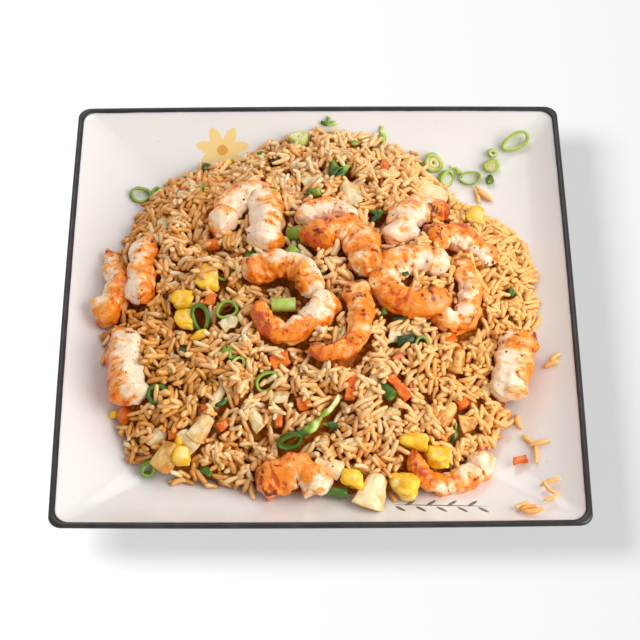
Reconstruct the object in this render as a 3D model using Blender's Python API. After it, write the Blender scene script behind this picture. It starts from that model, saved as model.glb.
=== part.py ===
"""Shrimp fried rice heaped on a square plate, as closed solids at their real size.

Lengths are metres and +Z is up.  The origin is the middle of the plate's foot, on the table.
+X is the plate's right and +Y its back.  The layout lists below give millimetres and degrees.
"""
import math
from dataclasses import dataclass

import bmesh
import bpy
from mathutils import Matrix, Vector, noise

MM = 0.001
GAP = 0.3 * MM                      # clearance between pieces that touch

# Plate: a white square dish with sloping sides and a foot ring.
PLATE_SIDE = 250.0
SIDE_BOW = 0.8                      # how far each side bulges at its middle
CORNER_STEPS = 5
SIDE_STEPS = 3
RIM_HEIGHT = 24.0
LIP = 1.0                           # radius of the rounded lip
FLOOR_HEIGHT = 6.5
FLOOR_HALF = 70.0                   # half width of the flat floor
WELL = ((78.0, 6.9), (88.0, 8.6), (99.0, 11.7), (111.0, 16.1), (119.0, 20.5))
UNDERSIDE = ((84.0, 3.4), (98.0, 7.5), (111.0, 12.4), (119.5, 17.2), (124.0, 21.6))
FOOT_INNER, FOOT_OUTER = 65.0, 71.0
FOOT_RECESS = 1.6
RIM_CORNER, FLOOR_CORNER = 6.0, 12.0

# Rice: a low heap with an uneven outline.
HEAP_REACH = (107, 112, 101, 112, 113, 108, 114, 108, 106, 110, 121, 108, 107, 112, 112, 107)
HEAP_CROWN = 42.0
HEAP_BASE = 12.0
HEAP_EDGE = 6.0                     # height of the heap's edge above the plate
HEAP_RINGS = 10
HEAP_SECTORS = 42
LUMPS = ((30.0, 2.6), (13.0, 1.4))   # spacing and height of the surface lumps

SHRIMP_STATIONS = 10
SHRIMP_SIDES = 7
SHRIMP_FLATNESS = 0.8               # thickness over depth of the body
SEGMENTS = 5
INNER_ROOM = 0.66                   # share of a curl's radius that the body fills inside it
FINE_STEPS = 8                      # steps of the spine between two stations
SETTLE_REACH = 8.0                  # distance over which the rice is levelled under a topping


@dataclass(frozen=True)
class Shrimp:
    """A shrimp's middle, its heading there, and how far each half of it curls."""
    name: str
    x: float
    y: float
    heading: float
    length: float
    front_turn: float
    rear_turn: float
    bend: float                     # under 1 bends at the middle, over 1 at the ends
    head: float                     # body depth at either end
    tail: float
    lift: float                     # centre line above the rice


@dataclass(frozen=True)
class Morsel:
    """A smaller topping: its place, its three sizes and its turn."""
    name: str
    x: float
    y: float
    length: float
    width: float
    thickness: float
    heading: float
    lift: float
    bow: float = 0.0                # how much a slice arches along its width
    tilt: float = 0.0


# Each list runs from the pieces that lie on top to those below them.
SHRIMPS = (
    Shrimp("shrimp_center_front", 16, 23, 312, 48, -150, -70, 1.0, 16, 15, 6.5),
    Shrimp("shrimp_center_back", 4, 43, 8, 32, -48, -76, 0.7, 12, 11, 2.5),
    Shrimp("shrimp_center_right_ring", 28, -4, 272, 78, 124, 140, 0.7, 15, 16, 5.5),
    Shrimp("shrimp_right_hook", 70, -10, 86, 50, 205, 62, 2.0, 13, 11, 3.5),
    Shrimp("shrimp_back_right_long", 69, 27, 330, 37, -75, 6, 0.7, 14, 9, 4.5),
    Shrimp("shrimp_back_right_curl", 43, 41, 54, 42, -56, -106, 1.0, 17, 14, 4.5),
    Shrimp("shrimp_center_bow", 19, -34, 254, 57, -43, -114, 1.0, 14, 7, 5.5),
    Shrimp("shrimp_center_cup", -12, -33, 201, 60, -49, -122, 0.7, 16, 8, 4.5),
    Shrimp("shrimp_center_left_crown", -13, 6, 350, 46, -42, -120, 1.0, 15, 13, 4.5),
    Shrimp("shrimp_back_left_arch", -28, 54, 130, 71, 55, 141, 0.4, 19, 14, 3.5),
    Shrimp("shrimp_left_upright", -86, 14, 267, 37, 4, 8, 1.0, 15, 14, 3.5),
    Shrimp("shrimp_left_hook", -97, 12, 108, 50, 108, 10, 1.0, 17, 6, 4.5),
    Shrimp("shrimp_front_left_thick", -90, -39, 284, 41, 46, -4, 1.0, 18, 19, 5.0),
    Shrimp("shrimp_right_plump", 92, -37, 250, 37, -30, 8, 1.0, 20, 21, 5.0),
    Shrimp("shrimp_front_right_tail", 61, -99, 190, 50, -98, -112, 1.3, 13, 7, 4.0),
    Shrimp("shrimp_front_seared", -11, -93, 14, 36, -8, -92, 0.6, 17, 14, 4.0),
)
EGGS = (
    Morsel("egg_left_upper", -54, 4, 16, 12, 8, 70, 2.0),
    Morsel("egg_left_lower", -66, -7, 13, 10, 7, 30, 1.5),
    Morsel("egg_left_pale", -65, -17, 12, 10, 6, 80, 1.0),
    Morsel("egg_front_left", -65, -85, 11, 9, 7, 40, 2.5),
    Morsel("egg_back_right", 78, 48, 14, 9, 8, 110, 2.5),
    Morsel("egg_front_upper", 43, -82, 15, 10, 7, 160, 2.5),
    Morsel("egg_front_right", 54, -86, 13, 12, 8, 20, 2.5),
    Morsel("egg_front_large", 38, -101, 17, 13, 9, 160, 3.5),
    Morsel("egg_front_amber", 15, -99, 12, 11, 8, 80, 2.5),
)
ONIONS = (
    Morsel("onion_front_wedge", 24, -105, 18, 15, 3.0, 76, 3.0, 1.5, 8),
    Morsel("onion_left_panel", -55, -75, 14, 10, 2.4, 60, 2.0, 1.2, 25),
    Morsel("onion_left_fold", -62, -80, 12, 9, 2.4, 130, 1.5, 1.2, -10),
    Morsel("onion_left_gold", -71, -85, 15, 11, 4.0, 60, 3.5, 1.5, 15),
    Morsel("onion_front_slice", 4, -93, 14, 9, 3.0, 160, 1.5, 1.0, 10),
    Morsel("onion_right_strip", 59, -68, 13, 8, 3.0, 60, 2.0, 1.0, 5),
    Morsel("onion_right_round", 69, -70, 9, 8, 4.0, 20, 2.0, 0.6, 0),
    Morsel("onion_back_fan", 56, 66, 19, 13, 2.6, 165, 2.0, 1.5, -25),
    Morsel("onion_back_wide", 17, 56, 17, 13, 2.6, 120, 1.0, 1.8, 0),
    Morsel("onion_right_amber", 66, -40, 14, 7, 4.0, 80, 0.5, 1.0, 0),
)
GREENS = (
    Morsel("spring_onion_cylinder", -17, -16, 12, 6.5, 6.5, 0, 2.5),
    Morsel("spring_onion_slice", -10, 104, 9.5, 9.5, 5.0, 0, 2.0),
)
CARROTS = (
    Morsel("carrot_dice_center", -19, -45, 9, 7, 5, 20, 1.0),
    Morsel("carrot_stick_left", 15, -58, 14, 5, 4, 80, 1.5),
    Morsel("carrot_stick_right", 37, -58, 14, 4.5, 4, 130, 1.5),
    Morsel("carrot_stick_plate", 95, -85, 7, 3.6, 3.4, 5, 2.2),
)

PORCELAIN = ((0.90, 0.89, 0.87), 0.2)
COOKED_RICE = ((0.66, 0.42, 0.20), 0.5)
SHRIMP_FLESH = ((0.90, 0.55, 0.28), 0.4)
EGG_YELLOW = ((0.95, 0.62, 0.06), 0.45)
ONION_PALE = ((0.80, 0.68, 0.45), 0.3)
LEEK_GREEN = ((0.45, 0.62, 0.15), 0.4)
CARROT_ORANGE = ((0.90, 0.30, 0.03), 0.4)


# --- Surfaces that the food lies on --------------------------------------------------------------

def interpolate(stops, value):
    """Height at a distance on a profile given as (distance, height) stops."""
    for (low, low_height), (high, high_height) in zip(stops, stops[1:]):
        if value <= high:
            share = max(0.0, (value - low) / (high - low))
            return low_height + share * (high_height - low_height)
    return stops[-1][1]


def plate_height(x, y):
    """Height of the plate's upper face, in millimetres."""
    reach = (abs(x) ** 8 + abs(y) ** 8) ** 0.125
    stops = ((0.0, FLOOR_HEIGHT), (FLOOR_HALF, FLOOR_HEIGHT), *WELL,
             (PLATE_SIDE / 2 - 2 * LIP, RIM_HEIGHT))
    return interpolate(stops, reach)


def heap_reach(angle):
    """Distance from the middle to the heap's edge, on a smooth closed curve."""
    count = len(HEAP_REACH)
    place = (angle / math.tau * count) % count
    first = int(place)
    share = place - first
    before, start, end, after = (HEAP_REACH[(first + step) % count] for step in (-1, 0, 1, 2))
    slope_in, slope_out = (end - before) / 2, (after - start) / 2
    rise = end - start
    return (start + slope_in * share + (3 * rise - 2 * slope_in - slope_out) * share ** 2
            + (slope_in + slope_out - 2 * rise) * share ** 3)


def heap_height(x, y):
    """Height of the smooth heap, in millimetres, or of the plate beyond it."""
    share = math.hypot(x, y) / heap_reach(math.atan2(y, x))
    floor = plate_height(x, y)
    if share >= 1.0:
        return floor
    mound = HEAP_BASE + (HEAP_CROWN - HEAP_BASE) * (1 - share ** 2.6) ** 0.85
    edge = floor + HEAP_EDGE * min(1.0, (1 - share) / 0.06) ** 0.5
    return max(mound, edge)


def lumps(x, y):
    """Unevenness of the rice around the smooth heap, in millimetres."""
    return sum(height * noise.noise(Vector((x / spacing, y / spacing, spacing)))
               for spacing, height in LUMPS)


def heap_normal(x, y):
    """Upward direction of the smooth surface, taken over the width of a topping."""
    reach = SETTLE_REACH
    slope_x = (heap_height(x + reach, y) - heap_height(x - reach, y)) / (2 * reach)
    slope_y = (heap_height(x, y + reach) - heap_height(x, y - reach)) / (2 * reach)
    return Vector((-slope_x, -slope_y, 1.0)).normalized()


# --- Mesh helpers --------------------------------------------------------------------------------

def material(name, finish):
    """A Principled material of one colour and roughness."""
    colour, roughness = finish
    made = bpy.data.materials.new(name)
    made.use_nodes = True
    shader = made.node_tree.nodes["Principled BSDF"]
    shader.inputs["Base Color"].default_value = (*colour, 1.0)
    shader.inputs["Roughness"].default_value = roughness
    return made


def add_object(name, mesh, collection, finish=None):
    """Link a bmesh as an object, smooth but for its sharp edges, with its own material."""
    bmesh.ops.recalc_face_normals(mesh, faces=mesh.faces)
    data = bpy.data.meshes.new(name)
    mesh.to_mesh(data)
    mesh.free()
    data.shade_smooth()
    data.set_sharp_from_angle(angle=math.radians(40))
    made = bpy.data.objects.new(name, data)
    collection.objects.link(made)
    if finish:
        data.materials.append(material(name, finish))
    return made


def add_guide(name, mesh, collection):
    """Link a bmesh as a cutter, which the finished dish leaves out."""
    guide = add_object(name, mesh, collection)
    guide.hide_render = True
    guide.display_type = "WIRE"
    return guide


def loft(rings):
    """Closed bmesh through rings of equally many points, with flat ends."""
    mesh = bmesh.new()
    rows = [[mesh.verts.new(point) for point in ring] for ring in rings]
    count = len(rows[0])
    for low, high in zip(rows, rows[1:]):
        for here in range(count):
            there = (here + 1) % count
            mesh.faces.new((low[here], low[there], high[there], high[here]))
    mesh.faces.new(rows[0][::-1])
    mesh.faces.new(rows[-1])
    return mesh


def cut(target, cutter):
    """Take one solid out of another."""
    step = target.modifiers.new(f"cut_{cutter.name}", "BOOLEAN")
    step.operation = "DIFFERENCE"
    step.solver = "EXACT"
    step.object = cutter


# --- Plate ---------------------------------------------------------------------------------------

def square_ring(half, height, corner):
    """A rounded square with slightly bowed sides, in metres, from its size in millimetres."""
    points = []
    for side in range(4):
        turn = side * math.pi / 2
        for step in range(CORNER_STEPS + 1):
            angle = step / CORNER_STEPS * math.pi / 2
            points.append((half - corner + corner * math.cos(angle),
                           half - corner + corner * math.sin(angle), turn))
        for step in range(1, SIDE_STEPS):
            along = (half - corner) * (1 - 2 * step / SIDE_STEPS)
            points.append((along, half, turn))
    ring = []
    for x, y, turn in points:
        swell = SIDE_BOW * (half / PLATE_SIDE * 2) * (1 - min(1.0, (min(x, y) / half) ** 2))
        if x < y:
            y += swell
        else:
            x += swell
        ring.append(Matrix.Rotation(turn, 3, "Z") @ Vector((x, y, height)) * MM)
    return ring


def corner_at(half):
    """Corner radius of the plate's rings, from the floor's to the rim's."""
    share = (half - FLOOR_HALF) / (PLATE_SIDE / 2 - FLOOR_HALF)
    return FLOOR_CORNER + (RIM_CORNER - FLOOR_CORNER) * min(1.0, max(0.0, share))


def plate_solid():
    """The plate's outline from the foot, out over the rim and in to the floor."""
    half = PLATE_SIDE / 2
    outline = [(FOOT_INNER - 1.0, FOOT_RECESS), (FOOT_INNER, 0.0), (FOOT_OUTER, 0.0),
               (FOOT_OUTER + 1.5, FOOT_RECESS), *UNDERSIDE,
               (half, RIM_HEIGHT - LIP), (half - 0.6 * LIP, RIM_HEIGHT - 0.2 * LIP),
               (half - 1.2 * LIP, RIM_HEIGHT), (half - 2.2 * LIP, RIM_HEIGHT - 0.2 * LIP),
               (half - 3.2 * LIP, RIM_HEIGHT - LIP), *reversed(WELL), (FLOOR_HALF, FLOOR_HEIGHT)]
    return loft([square_ring(size, height, corner_at(size)) for size, height in outline])


def plate_cutter():
    """The room that the plate takes from the food above it, with the gap between them."""
    well = [(FLOOR_HALF, FLOOR_HEIGHT), *WELL, (PLATE_SIDE / 2 - 3.2 * LIP, RIM_HEIGHT - LIP)]
    rings = [square_ring(size, height + GAP / MM, corner_at(size)) for size, height in well]
    below = [Vector((point.x, point.y, -10 * MM)) for point in rings[-1]]
    return loft(rings + [below])


# --- Rice ----------------------------------------------------------------------------------------

def rice_solid():
    """The whole heap as one solid that reaches down into the plate, before it is cut."""
    rings = []
    for level in range(1, HEAP_RINGS + 1):
        share = math.sin(level / HEAP_RINGS * math.pi / 2) if level < HEAP_RINGS else 0.9999
        ring = []
        for sector in range(HEAP_SECTORS):
            angle = sector / HEAP_SECTORS * math.tau
            reach = heap_reach(angle) * share
            x, y = reach * math.cos(angle), reach * math.sin(angle)
            height = heap_height(x, y) + lumps(x, y) * (1 - share ** 6)
            ring.append(Vector((x, y, height)) * MM)
        rings.append(ring)
    foot = [Vector((point.x, point.y, 0.0)) for point in rings[-1]]
    rings = [foot] + rings[::-1]
    return loft(rings)


# --- Toppings ------------------------------------------------------------------------------------

def shrimp_spine(shrimp):
    """Points of the body's centre line, from the head end to the tail end."""
    def direction(place):
        curl = abs(2 * place) ** shrimp.bend
        turn = -curl * shrimp.front_turn if place < 0 else curl * shrimp.rear_turn
        return math.radians(shrimp.heading + turn)

    fine = FINE_STEPS * (SHRIMP_STATIONS - 1)
    stride = shrimp.length / fine
    trail = [Vector((0.0, 0.0))]
    for step in range(fine):
        angle = direction((step + 0.5) / fine - 0.5)
        trail.append(trail[-1] + Vector((math.cos(angle), math.sin(angle))) * stride)
    middle = trail[fine // 2]
    spine = []
    for flat in trail[::FINE_STEPS]:
        flat = flat - middle + Vector((shrimp.x, shrimp.y))
        up = heap_normal(flat.x, flat.y)
        spine.append(Vector((flat.x, flat.y, heap_height(flat.x, flat.y))) + up * shrimp.lift)
    return spine


def body_depth(shrimp, share):
    """Depth of the body: blunt ends, a taper to the tail and a notch at each segment."""
    taper = shrimp.head + (shrimp.tail - shrimp.head) * share
    ends = min(1.0, 0.62 + 3.2 * share) * min(1.0, 0.62 + 3.2 * (1 - share))
    notch = 1 - 0.07 * math.cos(share * SEGMENTS * math.pi) ** 2
    return taper * ends * notch


def shrimp_solid(shrimp, grow=0.0):
    """A curled body whose inner side never folds over itself."""
    spine = shrimp_spine(shrimp)
    last = len(spine) - 1
    tangents = [(spine[min(last, i + 1)] - spine[max(0, i - 1)]).normalized()
                for i in range(last + 1)]
    rings = []
    for i, (centre, along) in enumerate(zip(spine, tangents)):
        up = heap_normal(centre.x, centre.y)
        side = up.cross(along).normalized()
        up = along.cross(side)
        depth = body_depth(shrimp, i / last) / 2 + grow
        inner_left = inner_right = depth
        for near in (max(0, i - 1), min(last - 1, i)):
            bend = tangents[near].cross(tangents[near + 1]).dot(up)
            radius = (spine[near + 1] - spine[near]).length / max(abs(bend), 1e-6)
            room = INNER_ROOM * radius
            if bend > 0:
                inner_left = min(inner_left, room + grow)
            else:
                inner_right = min(inner_right, room + grow)
        ring = []
        for step in range(SHRIMP_SIDES):
            angle = step / SHRIMP_SIDES * math.tau
            reach = inner_left if math.cos(angle) > 0 else inner_right
            height = depth * SHRIMP_FLATNESS + grow * (1 - SHRIMP_FLATNESS)
            ring.append((centre + side * reach * math.cos(angle)
                         + up * height * math.sin(angle)) * MM)
        rings.append(ring)
    rings[0] = [point - tangents[0] * grow * MM for point in rings[0]]
    rings[-1] = [point + tangents[-1] * grow * MM for point in rings[-1]]
    return loft(rings)


def seat(morsel):
    """Where a topping's middle lies, turned and tilted with the surface under it."""
    up = heap_normal(morsel.x, morsel.y)
    place = Vector((morsel.x, morsel.y, heap_height(morsel.x, morsel.y))) + up * morsel.lift
    lean = Vector((0, 0, 1)).rotation_difference(up).to_matrix().to_4x4()
    turn = Matrix.Rotation(math.radians(morsel.heading), 4, "Z")
    tip = Matrix.Rotation(math.radians(morsel.tilt), 4, "X")
    return Matrix.Translation(place * MM) @ lean @ turn @ tip


def egg_solid(morsel, grow=0.0):
    """A soft irregular curd."""
    mesh = bmesh.new()
    bmesh.ops.create_icosphere(mesh, subdivisions=2, radius=1.0)
    sizes = Vector((morsel.length, morsel.width, morsel.thickness)) / 2
    origin = Vector((morsel.x, morsel.y, 0.0))
    for vert in mesh.verts:
        swell = 1 + 0.22 * noise.noise(vert.co * 1.3 + origin)
        vert.co = Vector(co * (size * swell + grow) for co, size in zip(vert.co, sizes)) * MM
    bmesh.ops.transform(mesh, matrix=seat(morsel), verts=mesh.verts)
    return mesh


def slice_solid(morsel, grow=0.0):
    """A slice of one onion layer, arched across its width and narrowed to one end."""
    mesh = bmesh.new()
    bmesh.ops.create_cube(mesh, size=2.0)
    edges = [edge for edge in mesh.edges
             if abs(edge.verts[0].co.z - edge.verts[1].co.z) < 0.5]
    bmesh.ops.subdivide_edges(mesh, edges=edges, cuts=2, use_grid_fill=True)
    for vert in mesh.verts:
        along, across, above = vert.co
        narrow = 1 - 0.18 * (along + 1) - 0.10 * across * along
        round_end = 1 - 0.16 * across * across
        x = along * round_end * (morsel.length / 2 + grow)
        y = across * narrow * (morsel.width / 2 + grow)
        z = above * (morsel.thickness / 2 + grow) + morsel.bow * (0.5 - across * across)
        vert.co = Vector((x, y, z)) * MM
    bmesh.ops.transform(mesh, matrix=seat(morsel), verts=mesh.verts)
    return mesh


def stalk_solid(morsel, grow=0.0):
    """A length of spring onion stalk; a standing one when it is as wide as it is long."""
    mesh = bmesh.new()
    standing = morsel.length == morsel.width
    depth = morsel.thickness if standing else morsel.length
    radius = (morsel.width / 2 + grow) * MM
    bmesh.ops.create_cone(mesh, cap_ends=True, segments=12, radius1=radius, radius2=radius,
                          depth=(depth + 2 * grow) * MM)
    if not standing:
        bmesh.ops.rotate(mesh, cent=(0, 0, 0), verts=mesh.verts,
                         matrix=Matrix.Rotation(math.pi / 2, 3, "Y"))
    bmesh.ops.transform(mesh, matrix=seat(morsel), verts=mesh.verts)
    return mesh


def carrot_solid(morsel, grow=0.0):
    """A small stick or dice with softened edges."""
    mesh = bmesh.new()
    bmesh.ops.create_cube(mesh, size=1.0)
    sizes = (morsel.length, morsel.width, morsel.thickness)
    bmesh.ops.scale(mesh, vec=[(size + 2 * grow) * MM for size in sizes], verts=mesh.verts)
    bmesh.ops.bevel(mesh, geom=mesh.edges, offset=0.6 * MM, segments=1, affect="EDGES")
    bmesh.ops.transform(mesh, matrix=seat(morsel), verts=mesh.verts)
    return mesh


FAMILIES = (
    (SHRIMPS, shrimp_solid, SHRIMP_FLESH),
    (ONIONS, slice_solid, ONION_PALE),
    (GREENS, stalk_solid, LEEK_GREEN),
    (CARROTS, carrot_solid, CARROT_ORANGE),
    (EGGS, egg_solid, EGG_YELLOW),
)


def boxes_meet(first, second):
    """Whether two solids' boxes overlap."""
    for axis in range(3):
        spans = [[vert.co[axis] for vert in solid.data.vertices] for solid in (first, second)]
        if max(min(spans[0]), min(spans[1])) > min(max(spans[0]), max(spans[1])):
            return False
    return True


def build():
    """Make the dish: the plate, the toppings from the top down, and the rice around them."""
    for leftover in list(bpy.data.objects):
        bpy.data.objects.remove(leftover)
    dish = bpy.data.collections.new("shrimp_fried_rice")
    guides = bpy.data.collections.new("cutters")
    for collection in (dish, guides):
        bpy.context.scene.collection.children.link(collection)

    add_object("plate", plate_solid(), dish, PORCELAIN)
    plate_room = add_guide("room_for_plate", plate_cutter(), guides)
    rooms = []
    for pieces, shape, finish in FAMILIES:
        for piece in pieces:
            topping = add_object(piece.name, shape(piece), dish, finish)
            cut(topping, plate_room)
            for room in rooms:
                if boxes_meet(topping, room):
                    cut(topping, room)
            rooms.append(add_guide(f"room_for_{piece.name}", shape(piece, GAP / MM), guides))

    rice = add_object("rice_heap", rice_solid(), dish, COOKED_RICE)
    for room in (plate_room, *rooms):
        cut(rice, room)


build()
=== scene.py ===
"""Shrimp fried rice on a square plate: the looks of the dish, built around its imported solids.

Lengths are millimetres in the layout tables and metres in the meshes.  +Z is up, +X the plate's
right and +Y its back, and the origin is the middle of the plate's foot.
"""
import logging
import math
from dataclasses import dataclass, field
from enum import Enum
from typing import Any, Callable, Iterable, Sequence

import bmesh
import bpy
import numpy as np
from mathutils import Matrix, Vector, noise
from mathutils.bvhtree import BVHTree


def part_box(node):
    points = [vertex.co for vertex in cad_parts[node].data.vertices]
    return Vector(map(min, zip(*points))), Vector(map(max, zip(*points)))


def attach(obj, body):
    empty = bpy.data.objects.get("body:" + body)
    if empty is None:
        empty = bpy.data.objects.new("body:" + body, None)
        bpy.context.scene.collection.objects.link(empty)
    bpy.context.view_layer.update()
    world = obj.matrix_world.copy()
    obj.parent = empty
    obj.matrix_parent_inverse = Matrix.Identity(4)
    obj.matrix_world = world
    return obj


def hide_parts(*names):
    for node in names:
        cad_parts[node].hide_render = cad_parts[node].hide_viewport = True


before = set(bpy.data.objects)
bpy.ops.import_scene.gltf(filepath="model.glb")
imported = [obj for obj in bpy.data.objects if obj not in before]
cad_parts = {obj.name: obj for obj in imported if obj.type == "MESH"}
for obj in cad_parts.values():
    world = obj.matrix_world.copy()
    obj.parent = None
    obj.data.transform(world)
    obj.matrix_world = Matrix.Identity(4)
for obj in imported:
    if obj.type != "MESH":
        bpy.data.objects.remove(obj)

MM = 0.001
LOG = logging.getLogger("fried_rice")
Colour = tuple[float, float, float]


class Slot(Enum):
    """The record's material slots."""
    PORCELAIN = "porcelain"
    RICE = "rice"
    SHRIMP = "shrimp"
    EGG = "egg"
    ONION = "onion"
    SPRING_ONION = "spring_onion"
    CARROT = "carrot"


# --- Shading -------------------------------------------------------------------------------------

def srgb(red: int, green: int, blue: int) -> Colour:
    """Linear colour of a screen colour.

    Args:
        red: Red, from 0 to 255.
        green: Green, from 0 to 255.
        blue: Blue, from 0 to 255.

    Returns:
        The three linear channels.
    """
    shares = (channel / 255 for channel in (red, green, blue))
    return tuple(s / 12.92 if s < 0.04045 else ((s + 0.055) / 1.055) ** 2.4 for s in shares)


class Value:
    """A shader socket that takes part in Python arithmetic."""

    def __init__(self, paint: "Paint", socket: bpy.types.NodeSocket) -> None:
        """Wrap one output socket of a paint's node tree."""
        self.paint = paint
        self.socket = socket

    def math(self, operation: str, *others: "Value | float") -> "Value":
        """Value of a Math node whose first input is this one."""
        return self.paint.math(operation, self, *others)

    def __add__(self, other: "Value | float") -> "Value":
        """Sum."""
        return self.math("ADD", other)

    __radd__ = __add__

    def __sub__(self, other: "Value | float") -> "Value":
        """Difference."""
        return self.math("SUBTRACT", other)

    def __rsub__(self, other: float) -> "Value":
        """Difference from a number."""
        return self.paint.math("SUBTRACT", other, self)

    def __mul__(self, other: "Value | float") -> "Value":
        """Product."""
        return self.math("MULTIPLY", other)

    __rmul__ = __mul__

    def __truediv__(self, other: "Value | float") -> "Value":
        """Quotient."""
        return self.math("DIVIDE", other)

    def __pow__(self, other: float) -> "Value":
        """Power."""
        return self.math("POWER", other)

    def step(self, low: float, high: float) -> "Value":
        """Smooth mask that is 0 at low and 1 at high, whichever of them is larger."""
        settings = {"interpolation_type": "SMOOTHSTEP"}
        return self.paint.node("ShaderNodeMapRange", settings,
                               {0: self, 1: low, 2: high, 3: 0.0, 4: 1.0})

    def most(self, other: "Value | float") -> "Value":
        """The larger of two values."""
        return self.math("MAXIMUM", other)


class Paint:
    """The node tree of one finish."""

    def __init__(self, name: str, **steady: Any) -> None:
        """Start a Principled material.

        Args:
            name: The material's name.
            **steady: Shader settings that are the same all over, with _ for each space.
        """
        self.material = bpy.data.materials.new(name)
        self.material.use_nodes = True
        self.tree = self.material.node_tree
        self.shader = self.tree.nodes["Principled BSDF"]
        for key, value in steady.items():
            self.shader.inputs[key.replace("_", " ").title().replace("Ior", "IOR")].default_value \
                = value

    def feed(self, socket: bpy.types.NodeSocket, value: Any) -> None:
        """Link a value to a socket, or set the socket to a number or colour."""
        if isinstance(value, Value):
            self.tree.links.new(value.socket, socket)
        elif isinstance(value, tuple) and len(value) == 3 and socket.type == "RGBA":
            socket.default_value = (*value, 1.0)
        else:
            socket.default_value = value

    def node(self, kind: str, settings: dict[str, Any], sockets: dict[Any, Any],
             outlet: int | str = 0) -> Value:
        """Add a node.

        Args:
            kind: The node's type.
            settings: Its properties; stops is a colour ramp's list of place and colour.
            sockets: Values or links of its inputs.
            outlet: The output that is wanted.

        Returns:
            That output.
        """
        made = self.tree.nodes.new(kind)
        for key, value in settings.items():
            if key == "stops":
                while len(made.color_ramp.elements) < len(value):
                    made.color_ramp.elements.new(1.0)
                for element, (place, colour) in zip(made.color_ramp.elements, value):
                    element.position = place
                    element.color = (*colour, 1.0)
            else:
                setattr(made, key, value)
        for key, value in sockets.items():
            self.feed(made.inputs[key], value)
        return Value(self, made.outputs[outlet])

    def math(self, operation: str, *values: "Value | float") -> Value:
        """Result of a Math node."""
        return self.node("ShaderNodeMath", {"operation": operation}, dict(enumerate(values)))

    def mix(self, share: "Value | float", first: Any, second: Any) -> Value:
        """Colour between two colours.

        Args:
            share: Share of the second colour.
            first: Colour or link.
            second: Colour or link.

        Returns:
            The mixed colour.
        """
        return self.node("ShaderNodeMix", {"data_type": "RGBA"},
                         {0: share, 6: first, 7: second}, 2)

    def ramp(self, value: Value, *stops: tuple[float, Colour]) -> Value:
        """Colour of a value on a ramp."""
        return self.node("ShaderNodeValToRGB", {"stops": stops}, {0: value})

    def place(self) -> Value:
        """Position on the object."""
        return self.node("ShaderNodeTexCoord", {}, {}, "Object")

    def axes(self, vector: Value) -> tuple[Value, Value, Value]:
        """The three parts of a vector."""
        split = self.node("ShaderNodeSeparateXYZ", {}, {0: vector})
        outputs = split.socket.node.outputs
        return tuple(Value(self, outputs[axis]) for axis in range(3))

    def unwrapped(self, name: str) -> tuple[Value, Value]:
        """Both coordinates of a UV map."""
        along, across, _ = self.axes(self.node("ShaderNodeUVMap", {"uv_map": name}, {}))
        return along, across

    def reading(self, name: str) -> Value:
        """Number that a mesh attribute holds."""
        return self.node("ShaderNodeAttribute", {"attribute_name": name}, {}, "Fac")

    def grain(self, size: float, detail: float = 2.0, vector: Value | None = None,
              stretch: tuple[float, float, float] = (1, 1, 1)) -> Value:
        """Noise between 0 and 1.

        Args:
            size: Size of its features, in millimetres.
            detail: Octaves of finer noise.
            vector: Where it is read; the position on the object if None.
            stretch: Scale along each axis.

        Returns:
            The noise.
        """
        spot = self.node("ShaderNodeMapping", {}, {0: vector or self.place(), 3: stretch})
        return self.node("ShaderNodeTexNoise", {},
                         {"Vector": spot, "Scale": 1 / (size * MM), "Detail": detail})

    def cells(self, size: float) -> Value:
        """Distance to the middle of a Voronoi cell that is about this many millimetres."""
        return self.node("ShaderNodeTexVoronoi", {},
                         {"Vector": self.place(), "Scale": 1 / (size * MM)}, "Distance")

    def finish(self, colour: Any = None, rough: Any = None, relief: Value | None = None,
               depth: float = 0.1, coat: Any = None) -> bpy.types.Material:
        """Connect the shader's varying sockets.

        Args:
            colour: Base colour.
            rough: Roughness.
            relief: Height of the bump, from 0 to 1.
            depth: Depth of the bump, in millimetres.
            coat: Coat weight.

        Returns:
            The finished material.
        """
        for name, value in (("Base Color", colour), ("Roughness", rough), ("Coat Weight", coat)):
            if value is not None:
                self.feed(self.shader.inputs[name], value)
        if relief is not None:
            bump = self.node("ShaderNodeBump", {}, {"Strength": 1.0, "Distance": depth * MM,
                                                    "Height": relief}, "Normal")
            self.feed(self.shader.inputs["Normal"], bump)
        return self.material


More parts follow.
